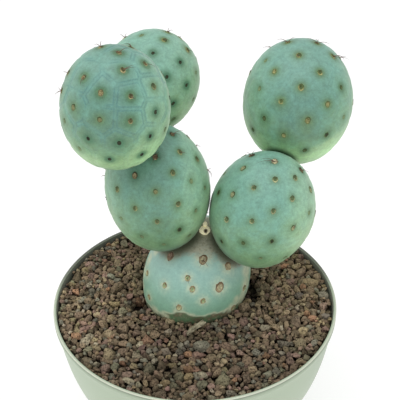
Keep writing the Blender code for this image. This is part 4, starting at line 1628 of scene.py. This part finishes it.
def bristle_mesh(segment, areoles):
    """Short barbed bristles that stand in the tipward half of each areole."""
    draw = np.random.default_rng(len(segment.name) + 300)
    bm = point_up(3, 0.0, closed=False)
    bmesh.ops.remove_doubles(bm, verts=bm.verts, dist=1e-6)
    template = to_mesh(bm, "bristle")
    shape = coordinates(template)
    points = []
    shades = []
    for areole in areoles:
        kind = KINDS[areole.kind]
        across, tipward, normal = sides_of(areole)
        for _ in range(kind.bristles):
            foot = draw.normal(0, 0.35) * across + draw.uniform(0.25, 0.85) * tipward
            start = np.array(areole.point) + foot * kind.radius * MM - BRISTLE_SUNK * normal
            lean = draw.normal(0, 0.55) * across + draw.uniform(0.1, 1.3) * tipward + normal
            end = start + lean / np.linalg.norm(lean) * kind.length * draw.uniform(*BRISTLE_LONG) * MM
            heading = Vector(end - start)
            turn = np.array(along(heading.normalized()).to_3x3())
            points.append(shape * np.array((BRISTLE_RADIUS, BRISTLE_RADIUS, heading.length)) @ turn.T + start)
            shades += [np.array(tone(*kind.dark)) * 1.15] * len(shape)
    mesh = copies(template, len(points), segment.name.replace("stem", "bristles"))
    move_to(mesh, np.concatenate(points))
    record(mesh, felt=shades)
    return mesh


class CACTUS_OT_areoles(bpy.types.Operator):
    """The felted areoles and the short bristles in them"""
    bl_idname = "cactus.areoles"
    bl_label = "Areoles"

    def execute(self, context):
        felt = felt_finish()
        for segment in SEGMENTS:
            areoles = areoles_of(segment)
            rings = areole_mesh(segment, areoles, context.scene.cactus_stem.tubercle)
            for mesh in (rings, bristle_mesh(segment, areoles)):
                new_piece(mesh, felt, segment.name, slot_of(segment))
        return {"FINISHED"}


def spine_template():
    """A tapered rod of one unit's length with rings along it."""
    bm = point_up(5, SPINE_TOP, closed=True)
    long_edges = [edge for edge in bm.edges if abs(edge.verts[0].co.z - edge.verts[1].co.z) > 0.5]
    bmesh.ops.subdivide_edges(bm, edges=long_edges, cuts=5, use_grid_fill=True)
    return to_mesh(bm, "spine")


def seen_spines(segment):
    """Foot, tip and normal of the spines on the viewer's side."""
    for place, tips in SPINES[segment.name]:
        point, normal = skin_point(segment, direction(*place))
        for azimuth, elevation, lift in tips:
            tip, tip_normal = skin_point(segment, direction(azimuth, elevation))
            yield point, tip + lift * MM * tip_normal, normal


def far_spines(segment, areoles, draw):
    """The same for areoles near the segment's tip, drawn at random where the viewer doesn't see them."""
    tip = leaning(*segment.tip)
    for areole in areoles:
        high = (areole.point - CENTRES[segment.name]).normalized().dot(tip)
        if high < 0.5 or segment.parent is None:
            continue
        for _ in range(draw.randint(2, 3)):
            around = Matrix.Rotation(draw.uniform(0, math.tau), 3, areole.normal) @ areole.tipward
            lean = math.radians(draw.uniform(*SPINE_LEAN))
            heading = math.cos(lean) * areole.normal + math.sin(lean) * around
            end = areole.point + draw.uniform(*SPINE_LONG) * MM * heading
            if hidden(end) and hidden((end + areole.point) / 2 + 0.5 * MM * areole.normal):
                yield areole.point, end, areole.normal


def spine_mesh(segment, areoles, radius):
    """Curved spines, bowed away from the skin."""
    draw = random.Random(segment.name + " spines")
    spines = [
        spine for spine in (*seen_spines(segment), *far_spines(segment, areoles, draw))
        if nearest_neighbour(segment, np.array([spine[1]]))[0] > SPINE_CLEAR
    ]
    template = spine_template()
    shape = coordinates(template)
    run = shape[:, 2:]
    mesh = copies(template, len(spines), segment.name.replace("stem", "spines"))
    points = []
    for start, end, normal in spines:
        chord = end - start
        bow = normal * chord.length * draw.uniform(*SPINE_BOW)
        middle = np.array(start) + run * np.array(chord) + 4 * run * (1 - run) * np.array(bow)
        heading = chord.normalized()
        across = heading.cross(normal).normalized()
        lift = across.cross(heading)
        thick = radius * draw.uniform(*SPINE_THICK)
        points.append(middle + thick * (shape[:, :1] * np.array(across) + shape[:, 1:2] * np.array(lift)))
    move_to(mesh, np.concatenate(points))
    record(mesh, run=np.tile(shape[:, 2], len(spines)))
    return mesh


class CACTUS_OT_spines(bpy.types.Operator):
    """The longer spines of the upper areoles"""
    bl_idname = "cactus.spines"
    bl_label = "Spines"

    def execute(self, context):
        stem = context.scene.cactus_stem
        dry = spine_finish(stem)
        for segment in SEGMENTS:
            mesh = spine_mesh(segment, areoles_of(segment), stem.spine_radius)
            new_piece(mesh, dry, segment.name, slot_of(segment))
        return {"FINISHED"}


def bud_finish():
    """Cream wool with a dark eye, which glows faintly with painted light."""
    # The emission is painted light: the wool glows faintly, as if lit through.
    finish = Finish("bud_wool", Sheen_Weight=0.3, Emission_Strength=0.22)
    fine = finish.noise(0.5 * MM, 4.0, 0.7)
    body = finish.shade(finish.stored("felt", "Color"), 0.8 + fine * 0.4)
    relief = finish.bump(fine, 0.2 * MM, 0.8)
    return finish.done(Base_Color=body, Emission_Color=body, Roughness=0.85 + fine * 0.1, Normal=relief)


class CACTUS_OT_bud(bpy.types.Operator):
    """The small woolly bud between the left and right segments"""
    bl_idname = "cactus.bud"
    bl_label = "Bud"

    def execute(self, context):
        point, normal = skin_point(SEGMENTS[0], direction(*BUD_AT))
        finish = bud_finish()
        for name, place, size in (
            ("bud", point + 0.9 * MM * normal, Vector((2.1, 2.0, 1.6)) * MM),
            ("bud_knob", point + Vector((0.3, 0.9, 2.9)) * MM, Vector((0.9, 0.9, 1.2)) * MM),
        ):
            mesh = to_mesh(egg(place, normal, size, 4), name)
            points = coordinates(mesh)
            out = points - np.array(place)
            rough = 1 + 0.07 * waves(points, 0.7 * MM, 5)
            heading = np.array(Vector((0.3, -0.85, 0.45)).normalized())
            facing = out @ heading / np.linalg.norm(out, axis=1)
            eye = ease(facing, 0.8, 0.92) if name == "bud" else np.zeros(len(points))
            move_to(mesh, np.array(place) + out * (rough - 0.25 * eye)[:, None])
            # Painted shade: the wool is darker towards its underside.
            light = 0.7 + 0.3 * ease(out[:, 2:], -1.4 * MM, 0.2 * MM)
            cream = np.array(tone(250, 242, 200)) * light
            record(mesh, felt=cream * (1 - eye)[:, None] + np.array(tone(52, 44, 30)) * eye[:, None])
            new_piece(mesh, finish, "stem_base", "corky_skin")
        return {"FINISHED"}


# The stage

def add_softbox(name, place, aim, width, tint, power):
    """A square soft light that looks from its place at an aim."""
    light = bpy.data.lights.new(name, "AREA")
    light.shape = "SQUARE"
    light.size = width
    light.energy = power
    light.color = tint
    lamp = bpy.data.objects.new(name, light)
    lamp.location = place
    lamp.rotation_euler = (Vector(aim) - Vector(place)).to_track_quat("-Z", "Y").to_euler()
    bpy.context.scene.collection.objects.link(lamp)


def camera_matrix():
    """Where the camera stands, with its tilt, turn and roll."""
    down = math.radians(CAMERA_DOWN)
    turn = math.radians(CAMERA_TURN)
    roll = math.radians(CAMERA_ROLL)
    ahead = Vector((math.sin(turn) * math.cos(down), math.cos(turn) * math.cos(down), -math.sin(down)))
    right = ahead.cross(UP).normalized()
    above = right.cross(ahead)
    right, above = (
        math.cos(roll) * right + math.sin(roll) * above, math.cos(roll) * above - math.sin(roll) * right,
    )
    return Matrix.Translation(CAMERA_PLACE) @ Matrix((right, above, -ahead)).transposed().to_4x4()


class CACTUS_OT_stage(bpy.types.Operator):
    """The pale floor, the soft lights and the camera"""
    bl_idname = "cactus.stage"
    bl_label = "Stage"

    def execute(self, context):
        studio = context.scene.cactus_studio
        bm = bmesh.new()
        bmesh.ops.create_grid(bm, x_segments=8, y_segments=8, size=FLOOR_REACH)
        mesh = to_mesh(bm, "studio_floor")
        mesh.materials.append(floor_finish(studio))
        floor = bpy.data.objects.new("studio_floor", mesh)
        context.scene.collection.objects.link(floor)
        floor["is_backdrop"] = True

        world = bpy.data.worlds.new("white_surround")
        context.scene.world = world
        world.use_nodes = True
        backdrop = world.node_tree.nodes["Background"]
        backdrop.inputs["Color"].default_value = (1.0, 1.0, 1.0, 1.0)
        backdrop.inputs["Strength"].default_value = studio.surround
        for name, softbox in SOFTBOXES.items():
            add_softbox(f"{name}_light", *softbox, getattr(studio, name))

        camera = bpy.data.cameras.new("camera")
        camera.sensor_width = CAMERA_SENSOR
        camera.lens = CAMERA_LENS
        camera.clip_start = CAMERA_NEAR
        viewer = bpy.data.objects.new("camera", camera)
        viewer.matrix_world = camera_matrix()
        context.scene.collection.objects.link(viewer)
        context.scene.camera = viewer
        context.scene.view_settings.view_transform = "Standard"
        return {"FINISHED"}


class CACTUS_PT_panel(bpy.types.Panel):
    """Lists the pieces and their settings in the sidebar"""
    bl_label = "Potted tephrocactus"
    bl_idname = "CACTUS_PT_panel"
    bl_space_type = "VIEW_3D"
    bl_region_type = "UI"
    bl_category = "Cactus"

    def draw(self, context):
        for name in SETTINGS:
            box = self.layout.box()
            settings = getattr(context.scene, name)
            for prop in settings.bl_rna.properties:
                if prop.identifier not in ("rna_type", "name"):
                    box.prop(settings, prop.identifier)
        for operator in OPERATORS:
            self.layout.operator(operator.bl_idname)


SETTINGS = {
    "cactus_stem": StemSettings,
    "cactus_grit": GritSettings,
    "cactus_pot": PotSettings,
    "cactus_studio": StudioSettings,
}
OPERATORS = (
    CACTUS_OT_stage, CACTUS_OT_pot, CACTUS_OT_bed, CACTUS_OT_grains, CACTUS_OT_stalk, CACTUS_OT_skins,
    CACTUS_OT_areoles, CACTUS_OT_spines, CACTUS_OT_bud,
)


def register():
    for cls in (*SETTINGS.values(), *OPERATORS, CACTUS_PT_panel):
        bpy.utils.register_class(cls)
    for name, settings in SETTINGS.items():
        setattr(bpy.types.Scene, name, PointerProperty(type=settings))


def unregister():
    for name in SETTINGS:
        delattr(bpy.types.Scene, name)
    for cls in reversed((*SETTINGS.values(), *OPERATORS, CACTUS_PT_panel)):
        bpy.utils.unregister_class(cls)


def main():
    register()
    for operator in OPERATORS:
        family, action = operator.bl_idname.split(".")
        getattr(getattr(bpy.ops, family), action)()
    {name: [list(corner) for corner in box] for name, box in (("cad", CAD_BOX), ("visual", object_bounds()))}


if __name__ == "__main__":
    main()
